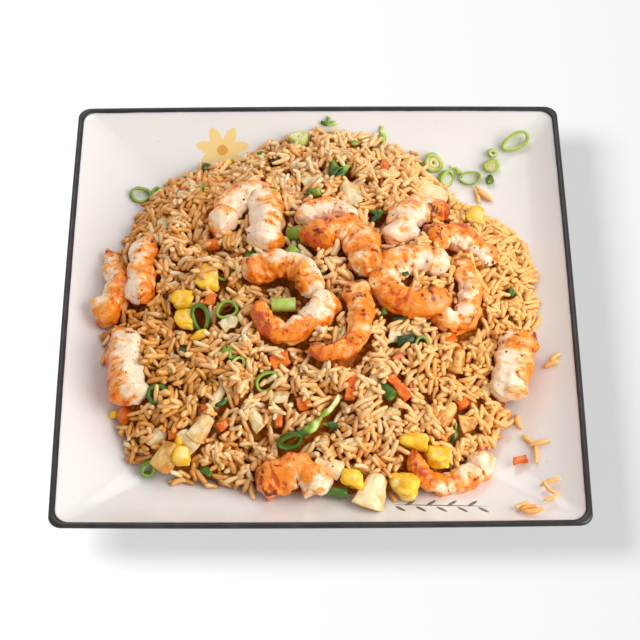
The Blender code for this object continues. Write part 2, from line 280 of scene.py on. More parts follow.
@dataclass(frozen=True)
class Glaze:
    """White plate glaze with a dark rim line, a small blossom and a leafy sprig."""
    white: Colour = srgb(234, 230, 228)
    rim: Colour = srgb(22, 19, 22)
    blue_edge: Colour = srgb(206, 212, 226)
    petal: Colour = srgb(243, 205, 112)
    heart: Colour = srgb(226, 158, 66)
    leaf: Colour = srgb(62, 60, 62)
    rim_from: float = 0.0
    rim_to: float = 0.0

    def make(self) -> bpy.types.Material:
        """Build the glaze on the plate's profile map and its position."""
        paint = Paint("plate_glaze", ior=1.5, coat_weight=0.25, coat_roughness=0.05)
        _, down = paint.unwrapped("profile")
        wobble = (paint.grain(9.0, 3.0) - 0.5) * 0.5
        line = down + wobble
        dark = line.step(self.rim_from - 0.25, self.rim_from + 0.25) \
            * line.step(self.rim_to + 0.3, self.rim_to - 0.3)
        edge = line.step(self.rim_from - 1.1, self.rim_from - 0.3) * (1 - dark)
        edge = edge * line.step(self.rim_from + 0.6, self.rim_from)
        cloud = paint.grain(60.0, 2.0)
        body = paint.mix(cloud.step(0.3, 0.7) * 0.5, self.white, srgb(230, 223, 218))
        speck = paint.cells(9.0).step(0.045, 0.02) * paint.grain(14.0, 0.0).step(0.55, 0.62)
        body = paint.mix(speck * 0.6, body, srgb(150, 128, 108))
        body = paint.mix(edge * 0.7, body, self.blue_edge)
        x, y, _ = paint.axes(paint.place())
        inside = down.step(self.rim_from + 0.5, self.rim_from)
        for mask, colour in self.blossom(x, y) + self.sprig(x, y):
            body = paint.mix(mask * inside, body, colour)
        streak = paint.grain(7.0, 4.0).step(0.42, 0.7)
        ink = paint.mix(streak * 0.25, self.rim, srgb(74, 66, 68))
        colour = paint.mix(dark, body, ink)
        rough = 0.14 + dark * 0.26 + paint.grain(3.0) * 0.04
        return paint.finish(colour, rough, paint.grain(22.0, 2.0), 0.12)

    def leaf_mask(self, x: Value, y: Value, middle: tuple[float, float], turn: float,
                  length: float, width: float) -> Value:
        """Mask of one pointed leaf or petal.

        Args:
            x: Position across the plate.
            y: Position along the plate.
            middle: Its middle, in millimetres.
            turn: Heading of its length, in degrees.
            length: Its length, in millimetres.
            width: Its width, in millimetres.

        Returns:
            A mask that is 1 inside.
        """
        angle = math.radians(turn)
        dx, dy = x / MM - middle[0], y / MM - middle[1]
        along = (dx * math.cos(angle) + dy * math.sin(angle)) / (length / 2)
        across = (dy * math.cos(angle) - dx * math.sin(angle)) / (width / 2)
        return (along * along + across.math("ABSOLUTE") ** 1.4).step(1.12, 0.86)

    def blossom(self, x: Value, y: Value) -> list[tuple[Value, Colour]]:
        """A plain open flower on the back wall: seven petals round a darker heart."""
        middle = (-50.0, 104.5)
        petals = None
        for petal in range(7):
            turn = petal * 360 / 7 + 12
            spot = (middle[0] + 8.0 * math.cos(math.radians(turn)),
                    middle[1] + 6.4 * math.sin(math.radians(turn)))
            mask = self.leaf_mask(x, y, spot, turn, 12.5, 6.2)
            petals = petals.most(mask) if petals else mask
        heart = self.leaf_mask(x, y, middle, 0, 6.0, 5.6)
        return [(petals * 0.85, self.petal), (heart, self.heart)]

    def sprig(self, x: Value, y: Value) -> list[tuple[Value, Colour]]:
        """A thin dark sprig of paired leaves along the front wall."""
        leaves = self.leaf_mask(x, y, (56.0, -110.0), -2, 46.0, 0.7)
        for leaf in range(9):
            spot = (37.0 + leaf * 4.8, -110.0 + (2.1 if leaf % 2 else -2.1) - leaf * 0.15)
            turn = 38 if leaf % 2 else -38
            leaves = leaves.most(self.leaf_mask(x, y, spot, turn, 6.2, 1.7))
        return [(leaves * 0.85, self.leaf)]


@dataclass(frozen=True)
class GrainCoat:
    """Finish of cooked grains: a tan skin with paler and browner ones among them, painted shade
    below and in the heap's shaded parts, and painted warm light on the right.
    """
    name: str
    pale: Colour
    deep: Colour
    # Brown for the darkest grains: partly sauce, partly painted shade in the heap's recesses and on
    # its left side.
    sauce_and_shade: Colour = srgb(180, 114, 24)
    subsurface: float = 0.45

    def make(self) -> bpy.types.Material:
        """Build the finish on each grain's own tone and its length."""
        paint = Paint(self.name, ior=1.45, subsurface_weight=self.subsurface,
                      subsurface_radius=(1.0, 0.66, 0.38), subsurface_scale=0.0015,
                      specular_ior_level=0.35, coat_weight=0.42, coat_roughness=0.14)
        tone = paint.reading("tone")
        share = tone + (paint.grain(1.6, 2.0) - 0.5) * 0.3 + (paint.grain(18.0) - 0.5) * 0.8
        # Painted warm light: towards the lit right side the grains are drawn warmer and more
        # orange.
        warm = (paint.axes(paint.place())[0] / MM).step(-30, 90)
        pale = paint.mix(warm * 0.8, self.pale, srgb(255, 196, 112))
        deep = paint.mix(warm * 0.8, self.deep, srgb(240, 138, 24))
        colour = paint.mix(share.step(0.0, 0.9), pale, deep)
        colour = paint.mix(share.step(0.75, 1.7), colour, self.sauce_and_shade)
        burnt = paint.grain(5.0, 3.0).step(0.68, 0.80) * 0.3
        colour = paint.mix(burnt, colour, srgb(166, 100, 46))
        rough = 0.28 + paint.grain(1.2) * 0.2
        return paint.finish(colour, rough, paint.grain(0.9, 2.0), 0.09)


@dataclass(frozen=True)
class CoreShade:
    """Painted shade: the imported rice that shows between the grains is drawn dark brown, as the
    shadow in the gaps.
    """

    def make(self) -> bpy.types.Material:
        """Build a mottled dark brown that stands for the shade between the grains."""
        paint = Paint("rice_core", specular_ior_level=0.2)
        share = paint.cells(3.0).step(0.1, 0.7)
        colour = paint.mix(share, srgb(222, 144, 44), srgb(172, 88, 8))
        return paint.finish(colour, 0.7, paint.cells(3.0), 1.0)


@dataclass(frozen=True)
class ShrimpSkin:
    """Seared shrimp: pale flesh, an orange back, browned ridges, a few charred spots and painted
    shade in the creases between the bulges.
    """
    name: str
    segments: int = 5
    flesh: Colour = srgb(255, 224, 194)
    blush: Colour = srgb(252, 182, 98)
    orange: Colour = srgb(246, 140, 26)
    ember: Colour = srgb(204, 72, 6)
    char: Colour = srgb(104, 42, 4)

    def make(self) -> bpy.types.Material:
        """Build the skin on the body map and the painted sear."""
        paint = Paint(self.name, ior=1.45, subsurface_weight=0.3,
                      subsurface_radius=(1.0, 0.5, 0.25), subsurface_scale=0.002,
                      specular_ior_level=0.3, coat_weight=0.62, coat_roughness=0.1)
        _, along = paint.unwrapped("body")
        sear = paint.reading("sear")
        scorch = paint.reading("scorch")
        patch = paint.grain(10.0, 2.0) - 0.5
        body = paint.node("ShaderNodeUVMap", {"uv_map": "body"}, {})
        bands = paint.grain(1000.0, 3.0, body, (1.8, 2.6 * self.segments, 1.0)) - 0.5
        mottle = paint.grain(3.2, 3.0) - 0.5
        fine = paint.grain(0.9, 2.0) - 0.5
        # Painted shade: the creases between the bulges are drawn browner.
        crease = paint.reading("crease")
        heat = sear + patch * 1.6 + bands * 1.0 + mottle * 0.7 + fine * 0.3 + crease * 0.3
        seam = ((along * float(self.segments) + 0.15) * math.tau).math("COSINE").step(0.86, 1.0)
        heat = heat + seam * (mottle + 0.35) * 0.6
        colour = paint.mix(heat.step(0.10, 0.44), self.flesh, self.blush)
        colour = paint.mix(heat.step(0.32, 0.62), colour, self.orange)
        colour = paint.mix((mottle * 2.6 + bands + 0.25).step(0.3, 0.8) * heat.step(0.3, 0.6) * 0.7,
                           colour, self.ember)
        colour = paint.mix(heat.step(0.78, 0.98) * 0.85, colour, self.ember)
        burnt = (scorch + mottle * 2.6 + bands * 1.2 + fine * 0.5).step(0.48, 0.66)
        colour = paint.mix(burnt * 0.9, colour, self.char)
        crumb = paint.cells(2.1).step(0.24, 0.14) * paint.grain(4.0, 0.0).step(0.44, 0.56)
        colour = paint.mix(crumb * 0.6, colour, srgb(176, 84, 20))
        rough = 0.24 + paint.grain(2.0) * 0.2
        fibres = paint.grain(0.9, 2.0) * 0.6 + paint.grain(2.6, 3.0)
        return paint.finish(colour, rough, fibres, 0.22)


@dataclass(frozen=True)
class SoftCurd:
    """Scrambled egg: warm yellow with paler folds and a browned edge."""
    light: Colour = srgb(255, 214, 66)
    deep: Colour = srgb(252, 186, 4)
    cream: Colour = srgb(255, 240, 190)
    brown: Colour = srgb(196, 112, 22)

    def make(self) -> bpy.types.Material:
        """Build the curd's colour and its small pores."""
        paint = Paint("egg_curd", ior=1.4, subsurface_weight=0.25,
                      subsurface_radius=(1.0, 0.6, 0.15), subsurface_scale=0.002,
                      coat_weight=0.3, coat_roughness=0.15)
        colour = paint.mix(paint.grain(5.0, 2.0).step(0.38, 0.60), self.light, self.deep)
        colour = paint.mix(paint.grain(7.0, 2.0).step(0.54, 0.74) * 0.7, colour, self.cream)
        colour = paint.mix(paint.grain(4.0, 3.0).step(0.64, 0.76) * 0.5, colour, self.brown)
        pores = paint.grain(1.5, 3.0)
        return paint.finish(colour, 0.38 + paint.grain(2.0) * 0.2, pores, 0.35)


@dataclass(frozen=True)
class OnionLayer:
    """Cooked onion: glassy and pale, with fine veins and caramel patches."""
    name: str
    pale: Colour
    amber: Colour
    browned: float = 0.3

    def make(self) -> bpy.types.Material:
        """Build the veins along the slice and the browned patches."""
        paint = Paint(self.name, ior=1.4, subsurface_weight=0.35,
                      subsurface_radius=(1.0, 0.8, 0.5), subsurface_scale=0.003,
                      coat_weight=0.45, coat_roughness=0.08)
        along, across = paint.unwrapped("layer")
        vein = (across * 30.0 + paint.grain(8.0) * 5.0).math("SINE").step(0.0, 1.0)
        patch = paint.grain(7.0, 3.0)
        colour = paint.mix(patch.step(0.75 - self.browned, 1.0 - self.browned), self.pale,
                           self.amber)
        colour = paint.mix(vein * 0.16, colour, srgb(214, 182, 120))
        edge = (along - 0.5).math("ABSOLUTE").most((across - 0.5).math("ABSOLUTE"))
        colour = paint.mix(edge.step(0.40, 0.5) * 0.45, colour, self.amber)
        return paint.finish(colour, 0.22 + patch * 0.12, vein * 0.4 + paint.grain(2.5), 0.10)


@dataclass(frozen=True)
class LeafGreen:
    """Spring onion: dark outside, pale and ribbed inside, by the painted depth of green."""

    def make(self) -> bpy.types.Material:
        """Build the green from the deep attribute."""
        paint = Paint("spring_onion_green", ior=1.4, subsurface_weight=0.2,
                      subsurface_radius=(0.5, 1.0, 0.2), subsurface_scale=0.0015,
                      coat_weight=0.35, coat_roughness=0.12)
        deep = paint.reading("deep") + (paint.grain(3.0, 2.0) - 0.5) * 0.35
        colour = paint.ramp(deep, (0.0, srgb(232, 230, 164)), (0.32, srgb(166, 192, 70)),
                            (0.66, srgb(82, 124, 36)), (1.0, srgb(32, 58, 22)))
        ribs = paint.grain(0.8, 2.0, None, (1, 1, 0.2))
        return paint.finish(colour, 0.3 + paint.grain(2.0) * 0.15, ribs, 0.12)


@dataclass(frozen=True)
class CarrotCut:
    """Cooked carrot: orange with a paler core and a moist cut face."""

    def make(self) -> bpy.types.Material:
        """Build the orange and its fibres."""
        paint = Paint("carrot_cut", ior=1.4, subsurface_weight=0.25,
                      subsurface_radius=(1.0, 0.4, 0.1), subsurface_scale=0.001,
                      coat_weight=0.35, coat_roughness=0.1)
        colour = paint.mix(paint.grain(3.0, 3.0).step(0.35, 0.65), srgb(242, 134, 28),
                           srgb(222, 92, 10))
        colour = paint.mix(paint.grain(6.0, 2.0).step(0.6, 0.75) * 0.5, colour,
                           srgb(150, 60, 14))
        return paint.finish(colour, 0.32 + paint.grain(1.5) * 0.15, paint.grain(0.9, 2.0), 0.12)


@dataclass(frozen=True)
class PepperSpeck:
    """Ground pepper and scorched crumbs."""

    def make(self) -> bpy.types.Material:
        """Build a speckled dark brown."""
        paint = Paint("pepper", specular_ior_level=0.3)
        colour = paint.mix(paint.grain(0.6).step(0.4, 0.6), srgb(52, 28, 14), srgb(112, 62, 26))
        return paint.finish(colour, 0.6, paint.grain(0.3), 0.05)


# --- Modelling helpers ---------------------------------------------------------------------------

def apply_modifier(piece: bpy.types.Object, kind: str, **settings: Any) -> None:
    """Add a modifier with these settings and apply it."""
    step = piece.modifiers.new(kind.title(), kind)
    for key, value in settings.items():
        setattr(step, key, value)
    bpy.context.view_layer.objects.active = piece
    bpy.ops.object.modifier_apply(modifier=step.name)


def start(name: str, primitive: Callable[..., Any], **sizes: Any) -> bpy.types.Object:
    """Add a primitive with nothing else selected.

    Args:
        name: The object's name.
        primitive: The operator that adds it.
        **sizes: The operator's settings.

    Returns:
        The new object.
    """
    bpy.ops.object.select_all(action="DESELECT")
    primitive(**sizes)
    piece = bpy.context.object
    piece.name = name
    piece.data.name = name
    return piece


def piece_of(mesh: bpy.types.Mesh) -> bpy.types.Object:
    """Put a mesh into the scene under its own name, with nothing selected."""
    bpy.ops.object.select_all(action="DESELECT")
    piece = bpy.data.objects.new(mesh.name, mesh)
    bpy.context.scene.collection.objects.link(piece)
    return piece


def in_edit_mode(piece: bpy.types.Object, *steps: Callable[[], Any]) -> None:
    """Run operators in edit mode with the whole mesh selected."""
    bpy.context.view_layer.objects.active = piece
    bpy.ops.object.mode_set(mode="EDIT")
    bpy.ops.mesh.select_all(action="SELECT")
    for step in steps:
        step()
    bpy.ops.object.mode_set(mode="OBJECT")


def shape_points(piece: bpy.types.Object, move: Callable[[Vector], Iterable[float]]) -> None:
    """Move every point of a mesh by a function of where it is."""
    for point in piece.data.vertices:
        point.co = Vector(move(point.co.copy()))
    piece.data.update()


def paint_points(piece: bpy.types.Object, name: str, values: Sequence[float]) -> None:
    """Store a number for each point of a mesh."""
    layer = piece.data.attributes.get(name) or piece.data.attributes.new(name, "FLOAT", "POINT")
    layer.data.foreach_set("value", np.asarray(values, np.float32))


def box_of(piece: bpy.types.Object) -> tuple[np.ndarray, np.ndarray]:
    """Lowest and highest corner of a mesh."""
    points = np.array([point.co for point in piece.data.vertices])
    return points.min(0), points.max(0)


def centre_on(piece: bpy.types.Object, target: Vector) -> None:
    """Move a mesh so that the middle of its box is at a place."""
    low, high = box_of(piece)
    piece.data.transform(Matrix.Translation(target - Vector((low + high) / 2)))


def own_map(piece: bpy.types.Object, name: str) -> bpy.types.MeshUVLoopLayer:
    """Replace a mesh's UV maps by one that is still empty."""
    while piece.data.uv_layers:
        piece.data.uv_layers.remove(piece.data.uv_layers[0])
    return piece.data.uv_layers.new(name=name)


def join(name: str, pieces: list[bpy.types.Object]) -> bpy.types.Object:
    """Join meshes into one piece.

    Args:
        name: The piece's name.
        pieces: The meshes, which all carry the same attributes.

    Returns:
        The joined piece.
    """
    bpy.ops.object.select_all(action="DESELECT")
    for piece in pieces:
        piece.select_set(True)
    bpy.context.view_layer.objects.active = pieces[0]
    bpy.ops.object.join()
    pieces[0].name = name
    pieces[0].data.name = name
    return pieces[0]


def hand_over(piece: bpy.types.Object, slot: Slot, finish: bpy.types.Material,
              *nodes: str) -> bpy.types.Object:
    """Smooth and dress a piece, tie it to the dish and report it.

    Args:
        piece: The finished mesh.
        slot: The record's material slot; not used.
        finish: Its material.
        *nodes: The solids that it stands for.

    Returns:
        The piece.
    """
    piece.data.shade_smooth()
    piece.data.materials.clear()
    piece.data.materials.append(finish)
    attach(piece, "root")
    if nodes:
        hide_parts(*nodes)
    LOG.info("%s: %d faces, stands for %s", piece.name, len(piece.data.polygons), nodes or "-")
    return piece


# --- Surfaces ------------------------------------------------------------------------------------

@dataclass(frozen=True)
class DishShape:
    """Heights of the plate and of the rice in it, in millimetres."""
    profile: tuple[tuple[float, float], ...] = (
        (0, 6.5), (70, 6.5), (78, 6.9), (88, 8.6), (99, 11.7), (111, 16.1), (119, 20.5),
        (123, 24.0))
    reaches: tuple[float, ...] = (
        107, 112, 101, 112, 113, 108, 114, 108, 106, 110, 121, 108, 107, 112, 112, 107)
    crown: float = 42.0
    base: float = 12.0
    edge: float = 6.0
    settle: float = 8.0

    def plate(self, x: Any, y: Any) -> Any:
        """Height of the plate's upper face."""
        reach = (np.abs(x) ** 8 + np.abs(y) ** 8) ** 0.125
        stops = np.array(self.profile)
        return np.interp(reach, stops[:, 0], stops[:, 1])

    def reach(self, angle: Any) -> Any:
        """Distance from the middle to the rice's edge."""
        count = len(self.reaches)
        place = (np.asarray(angle) / math.tau * count) % count
        first = np.floor(place).astype(int)
        t = place - first
        ring = np.array(self.reaches, float)
        before, start_at, end, after = (ring[(first + step) % count] for step in (-1, 0, 1, 2))
        slope_in, slope_out = (end - before) / 2, (after - start_at) / 2
        rise = end - start_at
        return (start_at + slope_in * t + (3 * rise - 2 * slope_in - slope_out) * t ** 2
                + (slope_in + slope_out - 2 * rise) * t ** 3)

    def share(self, x: Any, y: Any) -> Any:
        """Distance from the middle as a share of the rice's reach."""
        return np.hypot(x, y) / self.reach(np.arctan2(y, x))

    def heap(self, x: Any, y: Any) -> Any:
        """Height of the smooth heap, or of the plate beyond it."""
        share = np.clip(self.share(x, y), 0, 1)
        floor = self.plate(x, y)
        mound = self.base + (self.crown - self.base) * (1 - share ** 2.6) ** 0.85
        edge = floor + self.edge * np.minimum(1.0, (1 - share) / 0.06) ** 0.5
        return np.where(share >= 1, floor, np.maximum(mound, edge))

    def normal(self, x: float, y: float) -> Vector:
        """Upward direction of the heap, over the width of a topping."""
        reach = self.settle
        slopes = [float(self.heap(x + dx, y + dy) - self.heap(x - dx, y - dy)) / (2 * reach)
                  for dx, dy in ((reach, 0), (0, reach))]
        return Vector((-slopes[0], -slopes[1], 1.0)).normalized()

    def seat(self, x: float, y: float, lift: float, heading: float = 0.0,
             tilt: float = 0.0) -> Matrix:
        """Place of a topping that lies on the rice.

        Args:
            x: Across the plate, in millimetres.
            y: Along the plate, in millimetres.
            lift: Its middle's height above the rice, in millimetres.
            heading: Turn about the upward direction, in degrees.
            tilt: Turn about its own length, in degrees.

        Returns:
            A matrix that places a mesh made at the origin in metres.
        """
        up = self.normal(x, y)
        spot = Vector((x, y, float(self.heap(x, y)))) + up * lift
        lean = Vector((0, 0, 1)).rotation_difference(up).to_matrix().to_4x4()
        return (Matrix.Translation(spot * MM) @ lean
                @ Matrix.Rotation(math.radians(heading), 4, "Z")
                @ Matrix.Rotation(math.radians(tilt), 4, "X"))


def node_middle(node: str) -> Vector:
    """Middle of a solid's box."""
    low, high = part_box(node)
    return (low + high) / 2


# --- Plate ---------------------------------------------------------------------------------------

@dataclass
class Plate:
    """Square plate with sloping sides, a rounded lip and a foot ring."""
    side: float = 250.0
    bow: float = 0.8
    height: float = 24.0
    floor_half: float = 70.0
    rim_corner: float = 6.0
    floor_corner: float = 12.0
    corner_steps: int = 12
    side_steps: int = 26
    outline: tuple[tuple[float, float], ...] = (
        (70, 6.5), (74, 6.62), (78, 6.9), (83, 7.6), (88, 8.6), (93.5, 10.0), (99, 11.7),
        (105, 13.8), (111, 16.1), (115, 18.1), (119, 20.5), (120.6, 21.6), (121.4, 22.2),
        (121.9, 22.9), (122.4, 23.45), (122.9, 23.78), (123.5, 23.97), (124.1, 23.9),
        (124.6, 23.6), (124.9, 23.1), (125, 22.6), (124.7, 21.9), (124, 21.0), (119.5, 17.2),
        (111, 12.4), (98, 7.5), (84, 3.4), (72.5, 1.6), (71, 0), (65, 0), (64, 1.6))
    band: tuple[int, int] = (13, 22)

    def outline_length(self, station: int) -> float:
        """Distance along the profile from the floor to a station, in millimetres."""
        points = self.outline[:station + 1]
        return sum(math.dist(a, b) for a, b in zip(points, points[1:]))

    def ring(self, half: float, height: float) -> list[Vector]:
        """One rounded square with slightly bowed sides.

        Args:
            half: Half its width, in millimetres.
            height: Its height, in millimetres.

        Returns:
            Its points, in metres.
        """
        share = (half - self.floor_half) / (self.side / 2 - self.floor_half)
        corner = self.floor_corner + (self.rim_corner - self.floor_corner) * min(1, max(0, share))
        quarter = []
        for step in range(self.corner_steps + 1):
            angle = step / self.corner_steps * math.pi / 2
            quarter.append((half - corner + corner * math.cos(angle),
                            half - corner + corner * math.sin(angle)))
        for step in range(1, self.side_steps):
            quarter.append(((half - corner) * (1 - 2 * step / self.side_steps), half))
        points = []
        for quarter_turn in range(4):
            turn = Matrix.Rotation(quarter_turn * math.pi / 2, 3, "Z")
            for x, y in quarter:
                swell = self.bow * (half / self.side * 2) * (1 - min(1, (min(x, y) / half) ** 2))
                spot = (x, y + swell, height) if x < y else (x + swell, y, height)
                points.append(turn @ Vector(spot) * MM)
        return points

    def model(self) -> bpy.types.Object:
        """Extrude the outline from the floor, out over the rim and under to the foot."""
        rings = [self.ring(half, height) for half, height in self.outline]
        count = len(rings[0])
        plate = start("plate_glazed", bpy.ops.mesh.primitive_circle_add, vertices=count,
                      radius=1.0, fill_type="NGON")
        place = {}
        bpy.ops.object.mode_set(mode="EDIT")
        bpy.ops.mesh.select_all(action="SELECT")
        mesh = bmesh.from_edit_mesh(plate.data)
        order = sorted(mesh.verts, key=lambda v: math.atan2(v.co.y, v.co.x) % math.tau)
        for index, vert in enumerate(order):
            vert.co = rings[0][index]
            place[vert.index] = (0, index)
        bmesh.update_edit_mesh(plate.data)
        for station in range(1, len(rings)):
            known = {tuple(round(c, 7) for c in point): index
                     for index, point in enumerate(rings[station - 1])}
            bpy.ops.mesh.extrude_region_move()
            mesh = bmesh.from_edit_mesh(plate.data)
            mesh.verts.index_update()
            for vert in mesh.verts:
                if vert.select:
                    index = known[tuple(round(c, 7) for c in vert.co)]
                    vert.co = rings[station][index]
                    place[vert.index] = (station, index)
            bmesh.update_edit_mesh(plate.data)
        bpy.ops.mesh.select_all(action="DESELECT")
        bpy.ops.mesh.select_non_manifold()
        bpy.ops.mesh.edge_face_add()
        bpy.ops.mesh.select_all(action="SELECT")
        bpy.ops.mesh.normals_make_consistent(inside=False)
        bpy.ops.object.mode_set(mode="OBJECT")
        self.unwrap(plate, place, count)
        return plate

    def unwrap(self, plate: bpy.types.Object, place: dict[int, tuple[int, int]],
               count: int) -> None:
        """Lay out the plate by its perimeter and by millimetres along its profile."""
        layer = own_map(plate, "profile")
        lengths = [self.outline_length(station) for station in range(len(self.outline))]
        for polygon in plate.data.polygons:
            spots = [place[vertex] for vertex in polygon.vertices]
            wraps = {index for _, index in spots} >= {0, count - 1} and len(spots) < count
            for loop, (station, index) in zip(polygon.loop_indices, spots):
                turn = count if wraps and index == 0 else index
                layer.data[loop].uv = (turn / count, lengths[station])

    def build(self) -> None:
        """Model the plate and glaze it."""
        first, last = self.band
        glaze = Glaze(rim_from=self.outline_length(first), rim_to=self.outline_length(last))
        hand_over(self.model(), Slot.PORCELAIN, glaze.make(), "plate")


# --- Shrimp --------------------------------------------------------------------------------------

@dataclass(frozen=True)
class Sear:
    """How a shrimp has browned: 0 is white, 0.6 orange and 1 brown."""
    head: float
    tail: float
    back: float = 0.3  # added on the back and taken off the belly
    char_head: float = 0.0
    char_tail: float = 0.0


@dataclass(frozen=True)
class Curl:
    """A shrimp's centre line and body.  The turns are degrees and the sizes millimetres."""
    node: str
    heading: float
    length: float
    front_turn: float
    rear_turn: float
    bend: float
    head: float
    tail: float
    lift: float
    sear: Sear


@dataclass
class Shrimp:
    """One peeled shrimp that lies on its side on the rice."""
    curl: Curl
    dish: DishShape
    rings: int = 56
    sides: int = 26
    smoothing: int = 3  # rings on each side that a bend is averaged over
    flatness: float = 0.84  # height of the body as a share of its width
    inner_room: float = 0.80  # how far the inside of a bend may reach to its centre
    segment: float = 11.5  # length of one segment, in millimetres
    overlap: float = 0.20  # how much each segment swells over the next
    ripple: float = 0.12
    fray: float = 0.03
    frill: float = 0.30  # raggedness of the belly's edge
    lobe: float = 0.16  # three lobes at each end
    pillow: tuple[float, float] = (8.5, 3.4)  # spacing and height of the soft bulges
    pucker: tuple[float, float] = (4.0, 0.5)  # the same of the small ones between them
    sink: float = 0.8  # mean height of both, taken off again
    ball: list[Vector] = field(default_factory=list)

    def trail(self, middle: Vector) -> tuple[list[Vector], list[Vector], list[Vector]]:
        """Centre line over the rice.

        Args:
            middle: Where its middle lies, in millimetres.

        Returns:
            Its points, their headings and their upward directions.
        """
        curl = self.curl
        stride = curl.length / self.rings
        flat = [Vector((0.0, 0.0))]
        for step in range(self.rings):
            place = (step + 0.5) / self.rings - 0.5
            amount = abs(2 * place) ** curl.bend
            turn = -amount * curl.front_turn if place < 0 else amount * curl.rear_turn
            angle = math.radians(curl.heading + turn)
            flat.append(flat[-1] + Vector((math.cos(angle), math.sin(angle))) * stride)
        centre = flat[self.rings // 2]
        points, ups = [], []
        for spot in flat:
            x, y = spot - centre + middle
            up = self.dish.normal(x, y)
            ups.append(up)
            points.append(Vector((x, y, float(self.dish.heap(x, y)))) + up * curl.lift)
        along = [(points[min(self.rings, i + 1)] - points[max(0, i - 1)]).normalized()
                 for i in range(self.rings + 1)]
        return points, along, ups

    def depth(self, share: float) -> float:
        """Half depth of the body at a share of its length, in millimetres."""
        curl = self.curl
        taper = curl.head + (curl.tail - curl.head) * share
        ends = min(1.0, 0.80 + 2.4 * share) * min(1.0, 0.62 + 3.2 * (1 - share))
        cap = math.sin(math.pi / 2 * min(1.0, share * 13)) ** 0.5 \
            * math.sin(math.pi / 2 * min(1.0, (1 - share) * 9)) ** 0.5
        return taper / 2 * ends * cap

    @property
    def segments(self) -> int:
        """Number of segments along the body."""
        return round(self.curl.length / self.segment)

    def fold(self, share: float) -> float:
        """Height of the segments' overlap, from 0 to 1."""
        phase = (share * self.segments + 0.15) % 1.0
        return (phase / 0.8) ** 0.6 if phase < 0.8 else ((1 - phase) / 0.2) ** 0.5

    def body(self, piece: bpy.types.Object,
             middle: Vector) -> tuple[list[float], list[float], list[float]]:
        """Lay the sphere's rings along the centre line.

        Args:
            piece: The mesh, whose points are those of a unit sphere.
            middle: Where the body's middle lies, in millimetres.

        Returns:
            Share of the length, nearness to the back and bulge of each point.
        """
        points, along, ups = self.trail(middle)
        bends = [along[max(0, i - 1)].cross(along[min(self.rings, i + 1)]).dot(ups[i])
                 / max(1, min(self.rings, i + 1) - max(0, i - 1)) for i in range(self.rings + 1)]
        near = range(-self.smoothing, self.smoothing + 1)
        bends = [sum(bends[min(self.rings, max(0, i + k))] for k in near) / len(near)
                 for i in range(self.rings + 1)]
        stride = self.curl.length / self.rings
        back_side = -1.0 if self.curl.front_turn + self.curl.rear_turn > 0 else 1.0
        seed = Vector((self.curl.heading, self.curl.length, self.curl.head)) * 0.37
        length = self.curl.length
        shares, backs, puffs, crease_shades = [], [], [], []
        for point, ball in zip(piece.data.vertices, self.ball):
            share = math.acos(max(-1.0, min(1.0, ball.z))) / math.pi
            place = min(self.rings - 1e-6, share * self.rings)
            first, part = int(place), place - int(place)
            centre = points[first].lerp(points[first + 1], part)
            ahead = along[first].lerp(along[first + 1], part).normalized()
            up = ups[first].lerp(ups[first + 1], part)
            side = up.cross(ahead).normalized()
            up = ahead.cross(side)
            bend = bends[first] * (1 - part) + bends[first + 1] * part
            angle = math.atan2(ball.y, ball.x)
            across, above = math.cos(angle), math.sin(angle)
            half = self.depth(share)
            back = across * back_side
            half_side = half
            if across * bend > 0:
                half_side = min(half, self.inner_room * stride / max(abs(bend), 1e-6))
            ridge = self.fold(share + 0.03 * above * above) * (0.5 + 0.5 * max(0.0, back))
            swell = 1 + self.overlap * (ridge - 0.5)
            slit = math.exp(-((back - 1) / 0.03) ** 2) * 0.12
            rough = noise.noise(Vector((share * length / 9, across * 1.3, above * 1.3)) + seed)
            ragged = noise.noise(Vector((share * length / 2.6, across * 3.0, above * 3.0)) + seed)
            ends = max(0.0, 1 - min(share, 1 - share) * 7)
            frill = max(0.0, -back - 0.2) * self.frill
            lobes = math.cos(3 * angle + seed.x * 5) * ends * self.lobe
            swell *= (1 - slit) * (1 + self.ripple * rough + lobes
                                   + (self.fray + 0.16 * ends + frill) * ragged)
            out = (side * (across * half_side * (0.9 if back < -0.5 else 1.0))
                   + up * (above * half * self.flatness)) * swell
            spot = centre + out
            pillow = abs(noise.noise(spot / self.pillow[0] + seed)) * self.pillow[1] \
                + abs(noise.noise(spot / self.pucker[0] - seed)) * self.pucker[1] - self.sink
            spot += out.normalized() * pillow * min(1.0, half / 4)
            spot += ahead * (ends * 2.4 * ragged)
            point.co = spot * MM
            puffs.append(pillow)
            # Painted shade: the valleys between the soft bulges are marked so that the skin is
            # drawn browner there.
            valley = abs(noise.noise((centre + out) / self.pillow[0] + seed))
            crease_shades.append(max(0.0, 1 - valley / 0.07))
            shares.append(share)
            backs.append((back + 1) / 2)
        paint_points(piece, "crease", crease_shades)
        return shares, backs, puffs

    def model(self) -> bpy.types.Object:
        """Sphere drawn out into the curled body, moved over its solid."""
        node = self.curl.node
        piece = start(f"{node}_cooked", bpy.ops.mesh.primitive_uv_sphere_add,
                      segments=self.sides, ring_count=self.rings, radius=1.0)
        self.ball = [point.co.copy() for point in piece.data.vertices]
        target = node_middle(node) / MM
        middle = Vector((target.x, target.y))
        for _ in range(3):
            shares, backs, puffs = self.body(piece, middle)
            low, high = box_of(piece)
            found = (low + high) / 2 / MM
            middle += Vector((target.x - found[0], target.y - found[1]))
        self.unwrap(piece, shares, backs)
        self.paint(piece, shares, backs, puffs)
        apply_modifier(piece, "SUBSURF", levels=1, render_levels=1)
        return piece

    def unwrap(self, piece: bpy.types.Object, shares: list[float], backs: list[float]) -> None:
        """Lay out the body by nearness to its back and by its length."""
        layer = own_map(piece, "body")
        for loop in piece.data.loops:
            layer.data[loop.index].uv = (backs[loop.vertex_index], shares[loop.vertex_index])

